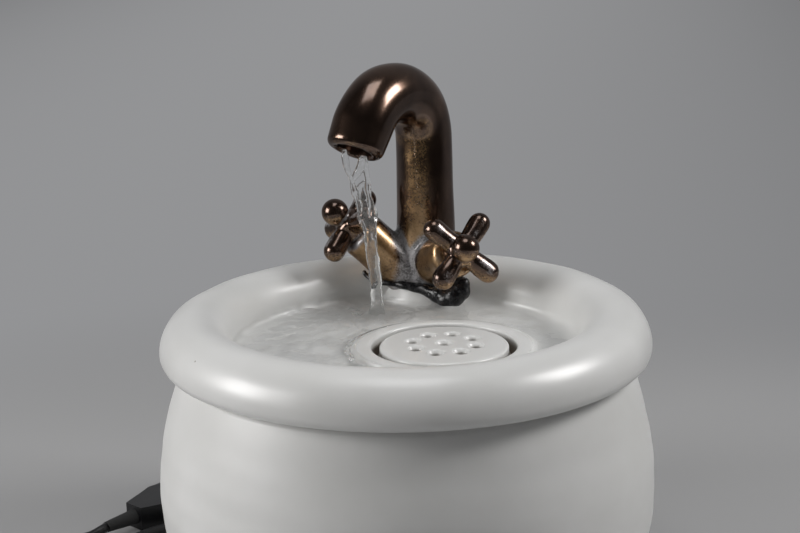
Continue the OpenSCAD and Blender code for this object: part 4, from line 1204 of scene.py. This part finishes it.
# rows of the ribbon as (height, centre and half width across the view, share of its full thickness),
# strands above it as (x, height, radius), and the lean as (y at the level, level, slope)
stream = {
    "lean": (46.0, 132.5, 0.0667),
    "rows": [
        (206.5, -25.6, 0.6, 0.50), (204.8, -26.4, 2.2, 0.45), (201.1, -27.2, 3.9, 0.42),
        (196.2, -26.1, 3.6, 0.48), (192.4, -25.6, 3.8, 0.55), (187.5, -25.0, 3.9, 0.75),
        (183.6, -24.1, 3.2, 0.98), (179.2, -23.4, 2.9, 0.95), (171.6, -23.5, 3.3, 0.85),
        (164.4, -22.8, 3.4, 0.80), (156.6, -21.8, 3.1, 0.90), (150.0, -21.2, 2.9, 1.00),
        (146.4, -21.2, 2.5, 1.00), (142.4, -21.2, 2.9, 0.95), (137.0, -21.2, 3.3, 0.95),
        (134.6, -21.3, 3.8, 1.00), (132.2, -21.3, 4.2, 1.00),
    ],
    "strands": [
        [(-35.8, 223.0, 0.9), (-35.4, 219.0, 1.7), (-34.6, 213.0, 1.2), (-33.2, 208.7, 0.95),
         (-31.9, 205.0, 1.2), (-31.0, 200.0, 1.25), (-30.0, 196.0, 1.1), (-29.2, 192.0, 1.1),
         (-28.8, 187.0, 1.2), (-27.2, 183.0, 1.4), (-25.8, 178.0, 1.2)],
        [(-26.3, 219.6, 0.7), (-26.6, 217.2, 1.7), (-27.4, 213.6, 1.9), (-29.2, 210.4, 1.7),
         (-31.0, 207.4, 1.5), (-32.2, 204.6, 1.2), (-31.4, 200.0, 1.2), (-29.8, 195.0, 1.1)],
        [(-25.0, 219.6, 0.6), (-24.9, 217.0, 1.4), (-24.6, 212.0, 1.25), (-24.0, 206.5, 1.15),
         (-23.6, 201.0, 1.15), (-22.9, 196.0, 1.2), (-22.2, 191.0, 1.5), (-21.9, 187.6, 2.0),
         (-21.6, 183.0, 1.4), (-21.2, 178.0, 1.2)],
    ],
    "strandScale": 1.22, "strandSway": 0.14, "twist": 0.9, "twistLength": 38.0,
    # the film's thinness and where it starts, and the foot's lobes and where they start
    "film": (0.62, 184.0, 14.0), "footLobes": (0.4, 136.4, 3.0), "ripples": [(0.26, 7.0), (0.10, 3.2)],
    "footFrom": 134.6, "sides": 40, "skin": (0.33, 5),
}


def makeStream(s):
    # a chain of flat links with thick rims: a ribbon with a dumbbell section, and round strands above it
    base, level, slope = s["lean"]

    def depth(z):
        return base - (z - level) * slope

    shells = []
    for strand in s["strands"]:
        q = np.array(strand)
        line = smoothRoute(np.column_stack([q[:, 0], depth(q[:, 1]), q[:, 1]]), 0.6)
        r = np.interp(-line[:, 2], -q[:, 1], q[:, 2])
        shells.append(sweep(line, s["strandScale"] * r * (1 + s["strandSway"] * waves(line, 51, 5.0)), 16))
    q = np.array(s["rows"])
    z = np.concatenate([np.arange(q[0, 0], s["footFrom"], -0.5), np.linspace(s["footFrom"], q[-1, 0], 10)])
    z = z[:, None]
    centre, half, thick = (np.interp(-z, -q[:, 0], q[:, k]) for k in (1, 2, 3))
    a = around(s["sides"])[None, :]
    # a thick rim on each side of a thin film at the top, and a full round section further down
    thin, filmFrom, filmOver = s["film"]
    rimmed = 1 - thin * ease((z - filmFrom) / filmOver) * (1 - np.abs(np.cos(a)) ** 2.5)
    u, v = half * np.cos(a), np.sin(a) * half * thick * rimmed
    turn = s["twist"] * np.sin((q[0, 0] - z) / s["twistLength"] * np.pi)
    x = centre + u * np.cos(0.35 * turn) - v * np.sin(turn)
    y = depth(z) + u * np.sin(turn) + v * np.cos(turn)
    points = np.stack([x, y, z + 0 * x], -1)
    flare, lobesFrom, lobesOver = s["footLobes"]
    lobes = flare * ease((lobesFrom - z) / lobesOver) * np.sin(5 * a + 1.0)
    (long, longSize), (short, shortSize) = s["ripples"]
    ripple = long * waves(points * [1, 1, 0.8], 52, longSize) + short * waves(points, 53, shortSize) + lobes
    points = points + ripple[..., None] * np.stack([np.cos(a), np.sin(a), 0 * a], -1)
    middle = np.column_stack([centre, depth(z), z])
    shells.append(closedSkin(points, middle[0], middle[-1]))
    dress(fusedShells("falling_stream", shells, *s["skin"]), streamWater, "dish")


makeStream(stream)
print("water made")

# CAD pieces that keep their shape, by their material
plainPieces = {
    "black moulding": ["pump_housing", "outlet_nozzle", "intake_cover", "cord_tie", "plug_body"],
    "dark grey moulding": ["volute_cover", "flow_dial"],
    "white moulding": ["impeller"],
    "black rubber": [
        "tube_grommet", "front_bush", "rear_bush", "suction_cups", "cord_gland", "plug_relief",
    ],
    "cord jacket": ["pump_lead"],
    "ferrite": ["rotor_magnet"],
    "polished ceramic": ["rotor_shaft"],
    "nickel plate": ["plug_pins"],
    "clear hose": ["supply_tube"],
}
for material, nodes in plainPieces.items():
    for node in nodes:
        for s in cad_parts[node].material_slots:
            s.material = plain[material]

stage = {
    "floor": (0.385, 0.385, 0.39), "backdrop": (0.292, 0.294, 0.302), "near": 260.0, "far": 620.0,
    "even": 0.82, "front": 0.035, "back": 0.09, "above": 0.22, "dim": 0.03, "falloff": 0.38, "sides": 96,
}


def lightPaths(t):
    # 1 for rays seen directly, and 1 for rays seen in or through gloss and glass
    path = addNode(t, "LightPath")
    gloss, glass = (path, "Is Glossy Ray"), (path, "Is Transmission Ray")
    return (path, "Is Camera Ray"), maths(t, "MINIMUM", maths(t, "ADD", gloss, glass), 1.0)


def makeFloor(s):
    # a pale floor that takes the shadow near the object and fades into an even backdrop further out
    rows = np.concatenate([np.linspace(0, 1200, 40)[1:], np.linspace(1400, 9000, 20)])[:, None]
    a = around(s["sides"])
    points = np.stack([rows * np.cos(a), rows * np.sin(a), np.full((len(rows), len(a)), -0.05)], -1)
    flat = np.concatenate([points.reshape(-1, 3), [[0, 0, -0.05]]])
    hub = fanFaces(np.arange(len(a)), len(flat) - 1)
    floor = putMesh("floor", flat, [gridFaces(len(rows), len(a))[:, ::-1], hub])
    m, t, shader = newMaterial("plain floor")
    place = here(t)
    pale = tuple(c * 0.98 for c in s["floor"])
    feed(shader, {
        "Base Color": ramp(t, noise(t, place, 3.0, 1.0), (0.3, pale), (0.7, s["floor"])),
        "Roughness": 0.85,
        "Specular IOR Level": 0.1,
    })
    away = addNode(t, "VectorMath", {0: place}, operation="LENGTH")
    start, over = s["near"] * mm, (s["far"] - s["near"]) * mm
    scaled = maths(t, "DIVIDE", maths(t, "SUBTRACT", (away, "Value"), start), over)
    fade = ramp(t, scaled, (0.0, 0.0), (1.0, 1.0))
    fade[0].color_ramp.interpolation = "EASE"
    direct, mirrored = lightPaths(t)
    # reflections see the backdrop behind the object and a dim room in front of it
    split = addNode(t, "SeparateXYZ", {"Vector": place})
    behind = maths(t, "MULTIPLY_ADD", (split, "Y"), 1.4, 0.3)
    tint = mixColours(t, direct, ramp(t, behind, (0.0, s["dim"]), (1.0, s["backdrop"])), s["backdrop"])
    # the backdrop falls off to both sides of a line 0.45 m to the left, and is even far out
    across = maths(t, "ADD", (split, "X"), 0.45)
    dimmer = maths(t, "MULTIPLY_ADD", maths(t, "MULTIPLY", across, across), -s["falloff"], 1.0)
    outwards = ramp(t, maths(t, "MULTIPLY_ADD", (away, "Value"), 0.1, 0.0), (0.38, 0.0), (0.55, 1.0))
    share = mixColours(t, outwards, maths(t, "MAXIMUM", dimmer, 0.68), s["even"])
    glow = addNode(t, "Emission", {"Color": mixColours(t, 1.0, tint, share, "MULTIPLY"), "Strength": 1.0})
    amount = maths(t, "MULTIPLY", fade, maths(t, "ADD", direct, mirrored))
    mixOut(t, amount, (shader, "BSDF"), (glow, "Emission"))
    floor.data.materials.append(m)


def makeRoom(s):
    # the room's light comes from above and from the back; its front is dim
    world = bpy.data.worlds.new("studio")
    world.use_nodes = True
    t = world.node_tree
    direct, mirrored = lightPaths(t)
    way = addNode(t, "SeparateXYZ", {"Vector": here(t)})
    lean = maths(t, "MULTIPLY_ADD", (way, "Y"), 0.5, 0.5)
    back = ramp(t, lean, (0.0, s["front"]), (1.0, s["back"]), (0.5, s["front"]))
    above = ramp(t, (way, "Z"), (0.3, 0.0), (1.0, s["above"]))
    room = mixColours(t, 1.0, back, above, "ADD")
    dimmed = ramp(t, (way, "Y"), (0.1, s["dim"]), (0.9, s["backdrop"]))
    far = tuple(c * s["even"] for c in s["backdrop"])
    seen = mixColours(t, direct, mixColours(t, mirrored, room, dimmed), far)
    feed(t.nodes["Background"], {"Color": seen})
    bpy.context.scene.world = world


# square lamps that point at the tap's foot: place and size in millimetres, watts and colour
lamps = {
    "key": ((-1040, -400, 495), 500, 8.8, (1.0, 0.99, 0.98)),
    "fill": ((980, 60, 860), 400, 8.0, (1.0, 0.99, 0.98)),
    "top": ((0, -100, 1300), 520, 2.8, (0.98, 0.99, 1.0)),
}
lampTarget = (0, 30.0, 130.0)


def makeLamps(lights):
    for name, (at, size, watts, colour) in lights.items():
        data = bpy.data.lights.new(name, "AREA")
        data.shape = "RECTANGLE"
        data.size = data.size_y = size * mm
        data.energy = watts
        data.color = colour
        z = unit(np.array(at, float) - lampTarget)
        x = unit(np.cross(skyward, z))
        putObject(name, data).matrix_world = placed(x, np.cross(z, x), z, np.array(at) * mm)


makeFloor(stage)
makeRoom(stage)
makeLamps(lamps)
bpy.context.scene.view_settings.view_transform = "Standard"
print("stage made")
